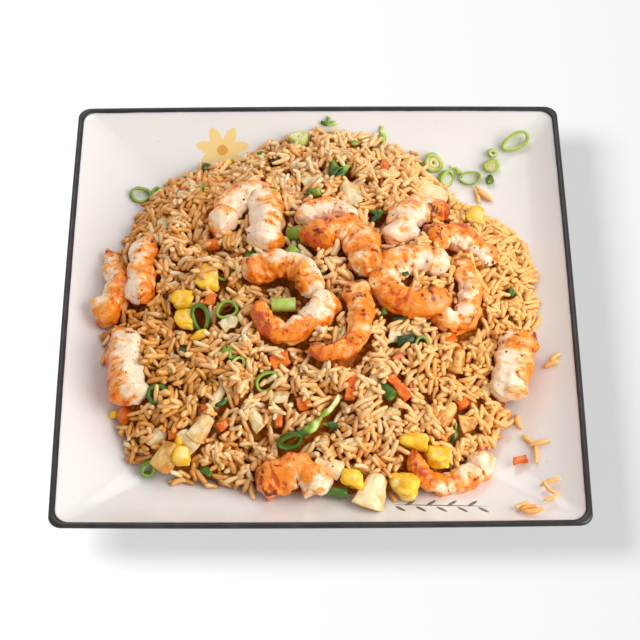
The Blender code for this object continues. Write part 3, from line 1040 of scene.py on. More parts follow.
    def paint(self, piece: bpy.types.Object, shares: list[float], backs: list[float],
              puffs: list[float]) -> None:
        """Store how far each point has browned and charred."""
        sear = self.curl.sear
        browned, charred = [], []
        for share, back, puff in zip(shares, backs, puffs):
            heat = sear.head + (sear.tail - sear.head) * share ** 1.3
            browned.append(heat + sear.back * (back - 0.5) * 2 + 0.12 * puff)
            charred.append(sear.char_head * max(0.0, 1 - 2.2 * share)
                           + sear.char_tail * max(0.0, 1 - 2.2 * (1 - share)) + 0.1 * puff)
        paint_points(piece, "sear", browned)
        paint_points(piece, "scorch", charred)

    def build(self) -> bpy.types.Object:
        """Model the shrimp and cook it."""
        piece = self.model()
        skin = ShrimpSkin(f"{piece.name}_skin", self.segments)
        return hand_over(piece, Slot.SHRIMP, skin.make(), self.curl.node)


SHRIMPS = (
    Curl("shrimp_center_front", 312, 46, -130, -70, 1.0, 21, 19, 6.5, Sear(0.80, 0.28, 0.1, 0.3)),
    Curl("shrimp_center_back", 8, 32, -48, -76, 0.7, 14, 12, 2.5, Sear(0.05, 0.3, 0.1)),
    Curl("shrimp_center_right_ring", 272, 78, 124, 140, 0.7, 16, 17, 5.5,
         Sear(0.16, 0.80, 0.15, 0.0, 0.45)),
    Curl("shrimp_right_hook", 86, 50, 205, 62, 2.0, 14, 12, 3.5, Sear(0.15, 0.65, 0.35, 0.3, 0.2)),
    Curl("shrimp_back_right_long", 330, 37, -75, 6, 0.7, 16, 11, 4.5,
         Sear(0.70, 0.35, 0.3, 0.35, 0.35)),
    Curl("shrimp_back_right_curl", 54, 42, -56, -106, 1.0, 18, 16, 4.5,
         Sear(0.0, 0.85, 0.2, 0.0, 0.35)),
    Curl("shrimp_center_bow", 254, 57, -43, -114, 1.0, 16, 8, 5.5, Sear(0.45, 0.75, 0.1, 0.5)),
    Curl("shrimp_center_cup", 201, 56, -49, -122, 0.7, 17, 9, 4.5,
         Sear(0.15, 0.80, 0.25, 0.0, 0.15)),
    Curl("shrimp_center_left_crown", 350, 46, -42, -120, 1.0, 16, 15, 4.5,
         Sear(0.50, 0.30, -0.35, 0.0, 0.15)),
    Curl("shrimp_back_left_arch", 130, 71, 55, 141, 0.4, 20, 15, 3.5, Sear(0.0, 0.35, 0.35)),
    Curl("shrimp_left_upright", 267, 37, 4, 8, 1.0, 16, 15, 3.5, Sear(0.22, 0.05, -0.5, 0.3)),
    Curl("shrimp_left_hook", 108, 50, 108, 10, 1.0, 19, 7, 4.5, Sear(0.28, 0.68, 0.2, 0.0, 0.5)),
    Curl("shrimp_front_left_thick", 284, 41, 46, -4, 1.0, 19, 20, 5.0, Sear(0.25, 0.45, 0.55)),
    Curl("shrimp_right_plump", 250, 37, -30, 8, 1.0, 20, 21, 5.0, Sear(0.68, -0.10, 0.35, 0.4)),
    Curl("shrimp_front_right_tail", 190, 50, -98, -112, 1.3, 15, 8, 4.0, Sear(0.0, 0.9, 0.1)),
    Curl("shrimp_front_seared", 14, 36, -8, -92, 0.6, 18, 15, 4.0, Sear(0.80, 0.25, 0.1, 0.5)),
)


# --- Egg, onion, carrot and spring onion ---------------------------------------------------------

@dataclass
class EggCurd:
    """A soft folded piece of scrambled egg."""
    node: str
    finish: bpy.types.Material
    detail: int = 4

    def model(self) -> bpy.types.Object:
        """Ball pushed into folds, filling its solid's box."""
        piece = start(f"{self.node}_soft", bpy.ops.mesh.primitive_ico_sphere_add,
                      subdivisions=self.detail, radius=1.0)
        low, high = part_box(self.node)
        seed = node_middle(self.node) * 900

        def folded(point: Vector) -> Vector:
            """A point of the ball after squaring and folding."""
            block = Vector([math.copysign(abs(c) ** power, c)
                            for c, power in zip(point, (0.72, 0.72, 0.55))])
            broad = noise.noise(point * 0.7 + seed)
            fold = abs(noise.noise(point * 1.1 + seed * 1.7))
            crumb = noise.noise(point * 3.0 + seed)
            skewed = Vector((block.x + 0.3 * block.y * block.z, block.y - 0.25 * block.x,
                             block.z + 0.2 * block.x))
            return skewed * (0.85 + 0.42 * broad + 0.22 * fold + 0.09 * crumb)

        shape_points(piece, folded)
        found_low, found_high = box_of(piece)
        size = np.array(high - low)
        scale = size / (found_high - found_low)
        shape_points(piece, lambda p: np.array(low) + (np.array(p) - found_low) * scale)
        return piece

    def build(self) -> bpy.types.Object:
        """Model the curd and colour it."""
        return hand_over(self.model(), Slot.EGG, self.finish, self.node)


@dataclass(frozen=True)
class Slice:
    """Sizes of a curved slice of one onion layer, in millimetres and degrees."""
    node: str
    length: float
    width: float
    thickness: float
    heading: float
    bow: float
    tilt: float
    amber: bool = False


@dataclass
class OnionSlice:
    """A curved slice of onion, narrowed to one end."""
    cut: Slice
    dish: DishShape
    finish: bpy.types.Material

    def model(self) -> bpy.types.Object:
        """Grid arched across its width, given a thickness and moved over its solid."""
        cut = self.cut
        piece = start(f"{cut.node}_cooked", bpy.ops.mesh.primitive_grid_add,
                      x_subdivisions=18, y_subdivisions=12, size=2.0)
        piece.data.uv_layers[0].name = "layer"
        seed = node_middle(cut.node) * 700

        def arched(point: Vector) -> tuple[float, float, float]:
            """A point of the flat grid on the arched slice."""
            along, across = point.x, point.y
            narrow = 1 - 0.20 * (along + 1) - 0.10 * across * along
            round_end = 1 - 0.18 * across * across
            frill = noise.noise(Vector((along * 1.4, across * 1.4, 0)) + seed)
            x = along * round_end * cut.length / 2 * (1 + 0.06 * frill)
            y = across * narrow * cut.width / 2 * (1 + 0.08 * frill)
            z = cut.bow * (1.1 - 1.6 * across * across) + 0.9 * frill \
                + 0.5 * noise.noise(Vector((along * 3.5, across * 3.5, 5)) + seed)
            return x * MM, y * MM, z * MM

        shape_points(piece, arched)
        apply_modifier(piece, "SOLIDIFY", thickness=max(0.9, cut.thickness * 0.45) * MM,
                       offset=0.0, use_even_offset=True)
        apply_modifier(piece, "BEVEL", width=0.3 * MM, segments=2, limit_method="ANGLE",
                       angle_limit=math.radians(50))
        apply_modifier(piece, "SUBSURF", levels=1, render_levels=1)
        target = node_middle(cut.node)
        seat = self.dish.seat(target.x / MM, target.y / MM, 0.0, cut.heading, cut.tilt)
        piece.data.transform(seat)
        centre_on(piece, target)
        return piece

    def build(self) -> bpy.types.Object:
        """Model the slice and colour it."""
        return hand_over(self.model(), Slot.ONION, self.finish, self.cut.node)


SLICES = (
    Slice("onion_front_wedge", 18, 15, 3.0, 76, 1.5, 8),
    Slice("onion_left_panel", 14, 10, 2.4, 60, 1.2, 25),
    Slice("onion_left_fold", 12, 9, 2.4, 130, 1.2, -10),
    Slice("onion_left_gold", 15, 11, 4.0, 60, 1.5, 15, True),
    Slice("onion_front_slice", 14, 9, 3.0, 160, 1.0, 10),
    Slice("onion_right_strip", 13, 8, 3.0, 60, 1.0, 5, True),
    Slice("onion_right_round", 9, 8, 4.0, 20, 0.6, 0, True),
    Slice("onion_back_fan", 19, 13, 2.6, 165, 1.5, -25),
    Slice("onion_back_wide", 17, 13, 2.6, 120, 1.8, 0),
    Slice("onion_right_amber", 14, 7, 4.0, 80, 1.0, 0, True),
)


def carrot_block(name: str, length: float, width: float, thickness: float,
                 seed: float) -> bpy.types.Object:
    """A cut stick or dice of carrot with softened, slightly uneven sides.

    Args:
        name: The piece's name.
        length: Its length, in millimetres.
        width: Its width, in millimetres.
        thickness: Its thickness, in millimetres.
        seed: Start of its unevenness.

    Returns:
        The mesh at the origin.
    """
    piece = start(name, bpy.ops.mesh.primitive_cube_add, size=1.0)
    shape_points(piece, lambda p: (p.x * length * MM, p.y * width * MM, p.z * thickness * MM))
    apply_modifier(piece, "BEVEL", width=0.16 * min(width, thickness) * MM, segments=2)
    apply_modifier(piece, "SUBSURF", levels=2, render_levels=2)

    def uneven(point: Vector) -> Vector:
        """A point after the cut has shrunk and dried a little."""
        spot = point * 230 + Vector((seed, seed * 2, 0))
        push = Vector([noise.noise(spot + Vector((0, 0, 9.5 * axis))) for axis in range(3)])
        return point + push * 0.75 * MM * min(2.0, thickness / 3)

    shape_points(piece, uneven)
    return piece


@dataclass(frozen=True)
class Stalk:
    """Sizes of a piece cut from a spring onion stalk, in millimetres and degrees."""
    x: float
    y: float
    width: float
    breadth: float
    depth: float
    deep: float = 0.45  # 0 is the pale root end and 1 the dark leaf
    heading: float = 0.0
    lean: float = 0.0  # 90 lies down
    wall: float = 1.25
    layers: int = 1
    lift: float = 0.6


def stalk_piece(name: str, stalk: Stalk) -> bpy.types.Object:
    """A hollow cut of stalk, with one wall or a few inside each other.

    Args:
        name: The piece's name.
        stalk: Its sizes.

    Returns:
        The mesh at the origin, standing, with its deep attribute.
    """
    tubes = []
    for layer in range(stalk.layers):
        shrink = 1 - 0.42 * layer
        tube = start(f"{name}_{layer}", bpy.ops.mesh.primitive_cylinder_add, vertices=20,
                     radius=0.5, depth=1.0, end_fill_type="NOTHING")
        in_edit_mode(tube, lambda: bpy.ops.mesh.subdivide(number_cuts=1))
        slope = 0.10 * math.sin(stalk.x + stalk.y)

        def oval(point: Vector) -> tuple[float, float, float]:
            """A point of the tube on its own slightly bent oval."""
            angle = math.atan2(point.y, point.x)
            wave = 1 + 0.06 * math.sin(2 * angle + stalk.x) + 0.05 * math.sin(3 * angle + stalk.y)
            x = point.x * stalk.width * shrink * wave
            y = point.y * stalk.breadth * shrink * wave
            z = point.z * stalk.depth * (1 - 0.12 * layer) + slope * x
            return x * MM, y * MM, z * MM

        shape_points(tube, oval)
        apply_modifier(tube, "SOLIDIFY", thickness=stalk.wall * MM, offset=-1.0,
                       use_even_offset=True)
        apply_modifier(tube, "BEVEL", width=0.18 * MM, segments=1, limit_method="ANGLE",
                       angle_limit=math.radians(50))
        rims = [math.hypot(p.co.x / stalk.width, p.co.y / stalk.breadth) / (0.5 * shrink * MM)
                for p in tube.data.vertices]
        paint_points(tube, "deep", [stalk.deep - 0.25 * layer - max(0.0, 1 - rim) * 0.6
                                    for rim in rims])
        tubes.append(tube)
    return join(name, tubes)


@dataclass(frozen=True)
class Sliver:
    """Sizes of a thin leaf or strip, in millimetres and degrees."""
    x: float
    y: float
    length: float
    width: float
    heading: float
    deep: float = 0.6
    bow: float = 0.8
    twist: float = 25.0
    lift: float = 1.0
    lean: float = 15.0


def sliver_piece(name: str, sliver: Sliver) -> bpy.types.Object:
    """A thin pointed strip that bows and twists along its length.

    Args:
        name: The piece's name.
        sliver: Its sizes.

    Returns:
        The mesh at the origin, with its deep attribute.
    """
    piece = start(name, bpy.ops.mesh.primitive_grid_add, x_subdivisions=12, y_subdivisions=3,
                  size=2.0)

    def bent(point: Vector) -> tuple[float, float, float]:
        """A point of the flat grid on the bent strip."""
        along, across = point.x, point.y
        narrow = 1 - 0.45 * abs(along) ** 3 + 0.14 * math.sin(along * 4 + sliver.x)
        turn = math.radians(sliver.twist) * along + 0.5 * math.sin(along * 2.5 + sliver.y)
        y = across * sliver.width / 2 * narrow + 0.10 * sliver.length * (along * along - 0.4)
        z = sliver.bow * (0.5 - along * along) + 0.25 * (1 - across * across)
        return (along * sliver.length / 2 * MM, (y * math.cos(turn)) * MM,
                (z + y * math.sin(turn)) * MM)

    shape_points(piece, bent)
    apply_modifier(piece, "SOLIDIFY", thickness=0.55 * MM, offset=0.0)
    middle = [p.co.x / (sliver.length / 2 * MM) for p in piece.data.vertices]
    paint_points(piece, "deep", [sliver.deep - 0.25 * place + 0.5 * noise.noise(point.co * 350)
                                 for place, point in zip(middle, piece.data.vertices)])
    return piece


# --- Scattered pieces ----------------------------------------------------------------------------

@dataclass
class Garnish:
    """The small pieces strewn over the rice and the plate, joined by kind."""
    dish: DishShape
    green: bpy.types.Material
    carrot: bpy.types.Material
    egg: bpy.types.Material
    onion: bpy.types.Material
    rings: tuple[Stalk, ...] = (
        Stalk(-92, 77, 11, 9, 3.5, 0.55, 20, 20), Stalk(-83, 79, 7, 6.5, 3, 0.5, 0, 30),
        Stalk(-46, 6, 10, 7.5, 4, 0.6, 15, 35, lift=1.4),
        Stalk(-57, -18, 9, 14, 4.5, 0.75, 10, 40, 1.6),
        Stalk(-44, -16, 11, 9, 3, 0.5, 0, 25, lift=1.2),
        Stalk(-25, -55, 12, 9, 3.5, 0.5, 30, 30, lift=1.7),
        Stalk(-76, -56, 10.5, 9.5, 4.5, 0.75, 0, 20, 1.8, lift=1.8),
        Stalk(-81, -88, 8, 7, 5, 0.6, 40, 45, 1.3), Stalk(103, 106, 15, 9, 3.5, 0.36, 28, 30, 1.5),
        Stalk(-38, -46, 7, 6.5, 4, 0.34, 0, 20, 1.3, lift=1.9),
        Stalk(60, 97, 10, 10, 5, 0.34, 0, 25, 2.0, 3), Stalk(66, 88, 11, 8, 4, 0.4, 60, 30, 1.4),
        Stalk(79, 88, 12, 7, 3.0, 0.42, 12, 20, 0.9), Stalk(90, 94, 8, 7, 4, 0.36, 10, 35, 1.8, 2),
        Stalk(91, 101, 5, 5, 4, 0.4, 10, 25, 1.6), Stalk(48, -37, 8, 13, 3.2, 0.55, -10, 30),
        Stalk(-14, -82, 13, 7, 4.5, 0.85, 15, 35, 1.3))
    chunks: tuple[Stalk, ...] = (
        Stalk(-58, 91, 5.5, 5, 9, 0.9, 30, 80), Stalk(-61, 65, 6, 5.5, 8, 0.6, 80, 75, 1.3),
        Stalk(-11, 29, 7, 6, 9, 0.5, 70, 70, 1.4), Stalk(-8, 22, 5, 4.5, 6, 0.9, 20, 60),
        Stalk(-13, 17, 6, 6, 6, 0.45, 120, 60, 1.4), Stalk(-33, 13, 6.5, 6, 9, 0.7, 10, 75, 1.2),
        Stalk(-53, -92, 4, 3.5, 5, 0.8, 60, 70), Stalk(7, -104, 4.5, 4, 11, 0.75, 80, 85),
        Stalk(32, -60, 6, 6.5, 7, 0.8, 40, 70, 1.6), Stalk(-65, -35, 4.5, 4, 5, 0.95, 0, 60),
        Stalk(-42, -40, 6, 5.5, 6.5, 0.40, 50, 60, 1.4, lift=2.0),
        Stalk(43, 21, 4, 3.5, 10, 0.95, 80, 85), Stalk(52, 91, 4.5, 4, 5, 0.95, 30, 70),
        Stalk(89, 86, 4, 3.5, 4, 0.8, 10, 60), Stalk(-1, 57, 4.5, 4, 5, 0.4, 70, 60),
        Stalk(41, -33, 5.5, 5, 8, 0.95, 100, 80))
    slivers: tuple[Sliver, ...] = (
        Sliver(6, 117, 9, 2.2, 0, 0.5), Sliver(5, 118, 6, 2.0, 70, 0.5),
        Sliver(-20, 86, 8, 5, 20, 0.95), Sliver(8, 75, 17, 7, 80, 0.75, 2.2, 60),
        Sliver(12, 74, 14, 5, 70, 0.6, 1.6, -50), Sliver(-23, 51, 6, 2.2, 0, 0.8, 0.5, 20, 9.0),
        Sliver(-22, 49, 4, 1.8, 90, 0.8, 0.5, 20, 9.0),
        Sliver(33, 109, 15, 3.4, 88, 0.42, 0.4, 10, 2.6), Sliver(19, 103, 4, 3, 30, 0.5),
        Sliver(29, 41, 10, 3, 60, 0.85), Sliver(27, 43, 6, 2.4, 150, 0.8),
        Sliver(1, 2, 6, 3.5, 60, 0.7), Sliver(4, -25, 7, 3.4, 90, 0.7),
        Sliver(8, -30, 9, 3, 20, 0.15, 1.6), Sliver(-38, -35, 8, 3.6, 80, 0.95),
        Sliver(-5, -77, 15, 4.2, 34, 0.5, 1.2, 30, 1.6),
        Sliver(5, -68, 14, 2.8, 48, 0.1, 1.0, 20, 1.8), Sliver(5, -76, 7, 3.4, 160, 0.9, 0.8),
        Sliver(63, -75, 10, 2.6, 80, 0.7), Sliver(41, -22, 13, 3, 5, 0.8),
        Sliver(31, -18, 5, 3.5, 60, 0.6), Sliver(40, -2, 3.4, 2.4, 20, 0.9, 0.3, 10, 10.0),
        Sliver(21, -2, 5, 2.6, 10, 0.7, 0.5, 10, 2.0), Sliver(78, 68, 7, 5, 40, 0.7),
        Sliver(94, 6, 7, 4, 80, 0.75), Sliver(-87, 39, 6, 2.6, 80, 0.7),
        Sliver(-5, 56, 5, 3.6, 30, 0.9), Sliver(-46, -64, 7, 2.4, 30, 0.8),
        Sliver(92, -8, 5, 2.4, 100, 0.8), Sliver(72, 92, 9, 2.0, 130, 0.3),
        Sliver(-30, 96, 6, 2.4, 10, 0.8))
    carrots: tuple[tuple[float, ...], ...] = (
        (-52, 26, 6, 5, 4, 10), (-53, -9, 6.5, 5.5, 4, 70), (19, 87, 9, 4.5, 4, 85),
        (34, 81, 9, 4, 3.5, 95), (43, 74, 8, 4.5, 4, 15), (62, -30, 7, 6, 5, 20),
        (37, -43, 5, 4, 3.5, 50), (67, -61, 6, 5, 4, 30), (-93, -61, 7, 6, 5, 40),
        (-69, -76, 5, 4.5, 4, 0), (-7, -65, 7, 5.5, 4.5, 15), (-19, -73, 6, 3, 3, 85),
        (-46, -74, 5, 4.5, 4, 30), (-54, -66, 3.4, 3, 3, 0), (-68, 70, 4, 3.4, 3, 40))
    eggs: tuple[tuple[float, ...], ...] = (
        (-66, -79, 6, 4, 4, 80), (-57, -28, 9, 5, 4, 20), (-47, 92, 5, 4, 4, 0),
        (-98, -58, 5, 4, 3.5, 40), (47, -93, 8, 6, 5, 50), (71, 60, 6, 4.5, 4, 20))
    onions: tuple[tuple[float, ...], ...] = (
        (-43, -22, 10, 8, 0.9, 30), (2, -84, 8, 6, 1.0, 70), (-19, -62, 9, 8, 1.1, 0),
        (-48, -59, 15, 6, 0.9, 70), (-77, -76, 10, 8, 1.2, 40), (-4, 67, 11, 9, 1.0, 20),
        (-41, 96, 18, 8, 0.8, 10), (-68, 70, 14, 6, 0.9, 80), (43, -27, 22, 8, 0.9, 20),
        (23, -60, 18, 7, 1.0, 75), (33, -70, 9, 7, 1.1, 20), (-30, -72, 11, 7, 0.9, 120),
        (79, -52, 10, 6, 1.0, 60), (-78, 48, 12, 7, 0.9, 100), (60, 10, 10, 6, 0.9, 30))

    def strew(self, name: str, slot: Slot, finish: bpy.types.Material,
              bits: Iterable[tuple[Any, ...]]) -> bpy.types.Object:
        """Put the small pieces of one kind where they lie and join them.

        Args:
            name: The joined piece's name.
            slot: The record's material slot.
            finish: Its material.
            bits: Each mesh, with its x, y, lift, heading and lean on the rice.

        Returns:
            The joined piece.
        """
        pieces = []
        for piece, *place in bits:
            piece.data.transform(self.dish.seat(*place))
            pieces.append(piece)
        return hand_over(join(name, pieces), slot, finish)

    def build_greens(self) -> list[bpy.types.Object]:
        """Model the rings, the chunks and the slivers."""
        kinds = (("spring_onion_rings", self.rings, stalk_piece),
                 ("spring_onion_chunks", self.chunks, stalk_piece),
                 ("spring_onion_slivers", self.slivers, sliver_piece))
        return [self.strew(name, Slot.SPRING_ONION, self.green,
                           ((model(f"{name}_{index}", cut), cut.x, cut.y, cut.lift,
                             cut.heading, cut.lean) for index, cut in enumerate(cuts)))
                for name, cuts, model in kinds]

    def build_carrots(self) -> bpy.types.Object:
        """Model the small carrot pieces."""
        return self.strew("carrot_bits", Slot.CARROT, self.carrot,
                          ((carrot_block(f"carrot_bit_{index}", *size, index * 1.7), x, y, 0.0,
                            heading, 25 * math.sin(index * 2.3))
                           for index, (x, y, *size, heading) in enumerate(self.carrots)))

    def egg_bit(self, index: int, *size: float) -> bpy.types.Object:
        """A crumb of egg: a ball drawn out to its size, in millimetres, and dented."""
        piece = start(f"egg_bit_{index}", bpy.ops.mesh.primitive_ico_sphere_add,
                      subdivisions=3, radius=1.0)
        seed = Vector((index, 0, 9))
        shape_points(piece, lambda p: [c * s / 2 * MM * (1 + 0.35 * noise.noise(p * 1.4 + seed))
                                       for c, s in zip(p, size)])
        return piece

    def build_eggs(self) -> bpy.types.Object:
        """Model the small bits of egg."""
        return self.strew("egg_bits", Slot.EGG, self.egg,
                          ((self.egg_bit(index, *size), x, y, 0.8, heading)
                           for index, (x, y, *size, heading) in enumerate(self.eggs)))

    def onion_shred(self, index: int, length: float, width: float,
                    bow: float) -> bpy.types.Object:
        """A thin curved shred of onion.

        Args:
            index: Its number, which also varies its shape.
            length: Its length, in millimetres.
            width: Its width, in millimetres.
            bow: How far it arches, in millimetres.

        Returns:
            The mesh at the origin.
        """
        piece = start(f"onion_shred_{index}", bpy.ops.mesh.primitive_grid_add,
                      x_subdivisions=14, y_subdivisions=7, size=2.0)
        piece.data.uv_layers[0].name = "layer"

        def curved(point: Vector) -> tuple[float, float, float]:
            """A point of the flat grid on the curved shred."""
            frill = noise.noise(Vector((point.x * 1.6, point.y * 1.6, index * 3.1)))
            narrow = 0.95 - 0.22 * abs(point.x) ** 3 - 0.2 * point.x
            along = (point.x + 0.18 * point.y * math.sin(index)) * length / 2
            across = (point.y * narrow + 0.25 * frill) * width / 2
            above = bow * (1.2 - 2.2 * point.y ** 2) + 1.5 * frill
            return along * MM, across * MM, above * MM

        shape_points(piece, curved)
        apply_modifier(piece, "SOLIDIFY", thickness=0.6 * MM, offset=0.0)
        apply_modifier(piece, "SUBSURF", levels=1, render_levels=1)
        return piece

    def build_onions(self) -> bpy.types.Object:
        """Model the thin onion shreds."""
        return self.strew("onion_shreds", Slot.ONION, self.onion,
                          ((self.onion_shred(index, *size), x, y, 0.0, heading,
                            18 * math.sin(index * 1.9))
                           for index, (x, y, *size, heading) in enumerate(self.onions)))

    def build(self) -> list[bpy.types.Object]:
        """Model every kind of small piece."""
        return [*self.build_greens(), self.build_carrots(), self.build_eggs(),
                self.build_onions()]


# --- Rice ----------------------------------------------------------------------------------------

@dataclass(frozen=True)
class Grain:
    """One grain at rest: its middle and direction, in millimetres."""
    middle: tuple[float, float, float]
    along: tuple[float, float, float]
    length: float
    girth: float
    sauce_and_shade: float = 0.0  # how much darker it is drawn: uneven sauce, plus painted shade deep in the heap and on its left side


@dataclass
class RiceBed:
    """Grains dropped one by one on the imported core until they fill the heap."""
    dish: DishShape
    cell: float = 0.5
    half: float = 123.0
    radius: float = 0.77  # less than the grains' own, which are soft and press together
    girths: tuple[float, float] = (1.16, 1.50)
    depth: float = 7.0  # of loose grains over the core
    core_share: float = 0.94  # share of the reach beyond which there is no core
    bumps: tuple[tuple[float, float], ...] = ((32.0, 7.0), (13.0, 7.0), (6.5, 4.0))
    ragged: tuple[tuple[float, float], ...] = ((9.0, 0.035), (3.0, 0.02))  # of the heap's edge
    edge: float = 0.985  # share of the reach that grains fill
    lengths: tuple[float, float, float, float] = (8.5, 1.5, 4.2, 10.8)  # mean, spread, limits
    steepest: float = 1.1  # slope of a grain that rests on its neighbours
    tries: int = 3  # headings tried for a grain
    rounds: int = 60
    batch: int = 500  # places tried in a round
    places_left: int = 200  # with fewer low places than this, the heap is full
    low: tuple[float, float] = (1.0, 0.9)  # how low a place is at a round's start, and when tried
    allowance: float = 0.7  # how far a grain's middle may lie above the heap
    seed: int = 11
    grains: list[Grain] = field(default_factory=list)

    def __post_init__(self) -> None:
        """Set up the height maps."""
        self.random = np.random.default_rng(self.seed)
        steps = np.arange(-self.half, self.half + self.cell / 2, self.cell)
        self.x, self.y = np.meshgrid(steps, steps)
        self.plate = self.dish.plate(self.x, self.y)
        ragged = sum(depth * self.wave(spacing) for spacing, depth in self.ragged)
        self.share = self.dish.share(self.x, self.y) * (1 + ragged)
        lumps = sum(height * self.wave(spacing) for spacing, height in self.bumps)
        inside = np.clip(1 - self.share ** 6, 0, 1)
        self.goal = np.where(self.share < 1, self.dish.heap(self.x, self.y) + lumps * inside,
                             self.plate)
        self.goal = np.maximum(self.goal, self.plate)
        self.lay = self.wave(17.0) * 7.0
        # Uneven sauce, plus painted shade that grows towards the left, the side away from the key
        # light.
        self.sauce_and_side_shade = 0.4 * self.wave(38.0) - 0.6 * np.clip(self.x / 90, -1, 0.5)
        self.strewn = self.wave(5.0) * 4.0 + 0.4
        core = np.where(self.share < self.core_share, self.goal - self.depth, self.plate)
        self.top = np.maximum(core, self.plate)
        reach = int(self.radius / self.cell)
        offsets = range(-reach, reach + 1)
        disc = [(i, j, self.radius ** 2 - (i * i + j * j) * self.cell ** 2)
                for i in offsets for j in offsets]
        disc = [(i, j, math.sqrt(left)) for i, j, left in disc if left > 0]
        self.disc_x, self.disc_y, self.disc_rise = (np.array(part) for part in zip(*disc))

    def cell_at(self, x: float, y: float) -> tuple[int, int]:
        """Row and column of the height maps at a place."""
        return round((y + self.half) / self.cell), round((x + self.half) / self.cell)

    def wave(self, spacing: float) -> np.ndarray:
        """Smooth unevenness between -1 and 1 on the height map's cells."""
        flat = [noise.noise(Vector((x / spacing, y / spacing, spacing)))
                for x, y in zip(self.x.ravel(), self.y.ravel())]
        return np.array(flat).reshape(self.x.shape)

    def press(self, piece: bpy.types.Object, strewn: bool) -> None:
        """Raise the height map to a topping's upper side, so that grains lie around it.

        Args:
            piece: The topping.
            strewn: Whether some grains lie on it too.
        """
        tree = BVHTree.FromPolygons([point.co for point in piece.data.vertices],
                                    [polygon.vertices for polygon in piece.data.polygons])
        low, high = box_of(piece)
        first = np.floor((low[:2] / MM + self.half) / self.cell).astype(int)
        last = np.ceil((high[:2] / MM + self.half) / self.cell).astype(int)
        down = Vector((0, 0, -1))
        for row in range(max(0, first[1]), min(len(self.x) - 1, last[1]) + 1):
            for column in range(max(0, first[0]), min(len(self.x) - 1, last[0]) + 1):
                above = Vector((self.x[row, column] * MM, self.y[row, column] * MM, 0.2))
                hit = tree.ray_cast(above, down)[0]
                height = round(hit.z / MM, 2) if hit else 0.0
                if height > self.top[row, column]:
                    self.top[row, column] = height
                    cover = max(0.0, float(self.strewn[row, column])) if strewn else 0.0
                    self.goal[row, column] = min(self.goal[row, column], height + cover)

    def rest(self, x: float, y: float, heading: float, length: float) -> tuple[float, float]:
        """Height and slope at which a grain comes to rest on two supports.

        Args:
            x: Its middle across, in millimetres.
            y: Its middle along, in millimetres.
            heading: Its direction, in radians.
            length: Its length, in millimetres.

        Returns:
            Its middle's height and its slope.
        """
        spots = np.linspace(-0.40, 0.40, 7) * length
        columns = np.rint((x + math.cos(heading) * spots + self.half) / self.cell).astype(int)
        rows = np.rint((y + math.sin(heading) * spots + self.half) / self.cell).astype(int)
        rows = np.clip(rows[:, None] + self.disc_y, 0, len(self.x) - 1)
        columns = np.clip(columns[:, None] + self.disc_x, 0, len(self.x) - 1)
        need = (self.top[rows, columns] + self.disc_rise).max(1)
        left, right = need[:3, None], need[None, 4:]
        before, after = spots[:3, None], spots[None, 4:]
        middles = (left * after - right * before) / (after - before)
        i, j = np.unravel_index(middles.argmax(), middles.shape)
        slope = (need[4 + j] - need[i]) / (spots[4 + j] - spots[i])
        slope = float(np.clip(slope, -self.steepest, self.steepest))
        return float((need - slope * spots).max()), slope

    def stamp(self, x: float, y: float, height: float, slope: float, heading: float,
              length: float) -> None:
        """Raise the height map by a grain that has come to rest."""
        reach = int(math.ceil((length / 2 + 0.5) / self.cell))
        row, column = self.cell_at(x, y)
        size = len(self.x)
        rows = slice(max(0, row - reach), min(size, row + reach + 1))
        columns = slice(max(0, column - reach), min(size, column + reach + 1))
        dx, dy = self.x[rows, columns] - x, self.y[rows, columns] - y
        along = dx * math.cos(heading) + dy * math.sin(heading)
        across = dy * math.cos(heading) - dx * math.sin(heading)
        straight = (length / 2 - self.radius * 0.8) / math.hypot(1, slope)
        over = np.maximum(np.abs(along) - straight, 0)
        left = self.radius ** 2 - across ** 2 - over ** 2
        surface = height + slope * np.clip(along, -straight, straight) \
            + np.sqrt(np.maximum(left, 0))
        window = self.top[rows, columns]
        self.top[rows, columns] = np.where(left > 0, np.maximum(window, surface), window)

    def drop(self, x: float, y: float, allowance: float) -> bool:
        """Try to lay one grain at a place.

        Args:
            x: Across, in millimetres.
            y: Along, in millimetres.
            allowance: How far its middle may lie above the heap, in millimetres.

        Returns:
            Whether it found rest.
        """
        row, column = self.cell_at(x, y)
        mean, spread, shortest, longest = self.lengths
        length = min(longest, max(shortest, float(self.random.normal(mean, spread))))
        lay = self.lay[row, column]
        rests = [(*self.rest(x, y, heading, length), heading)
                 for heading in lay + self.random.normal(0, 1.2, self.tries)]
        height, slope, heading = min(rests)
        if height > self.goal[row, column] + allowance:
            return False
        self.stamp(x, y, height, slope, heading, length)
        along = Vector((math.cos(heading), math.sin(heading), slope)).normalized()
        girth = float(self.random.uniform(*self.girths))
        # Painted shade: a grain that lies below the heap's surface is drawn darker, the deeper the
        # darker.
        sunk = max(0.0, float(self.goal[row, column]) - height)
        sauce_and_shade = 0.17 * sunk + float(self.sauce_and_side_shade[row, column])
        self.grains.append(Grain((x, y, height), tuple(along), length, girth, sauce_and_shade))
        return True

    def fill(self) -> None:
        """Drop grains where the heap is still too low, until it is full."""
        shift = self.cell / 2
        for layer in range(self.rounds):
            short = self.goal - self.top
            rows, columns = np.nonzero((short > self.low[0]) & (self.share < self.edge))
            if len(rows) < self.places_left:
                break
            placed = 0
            for pick in self.random.permutation(len(rows))[:self.batch]:
                row, column = rows[pick], columns[pick]
                if self.goal[row, column] - self.top[row, column] < self.low[1]:
                    continue
                x = self.x[row, column] + self.random.uniform(-shift, shift)
                y = self.y[row, column] + self.random.uniform(-shift, shift)
                placed += self.drop(float(x), float(y), self.allowance)
            if placed < 4:
                break
        LOG.info("rice bed: %d grains after %d rounds", len(self.grains), layer)

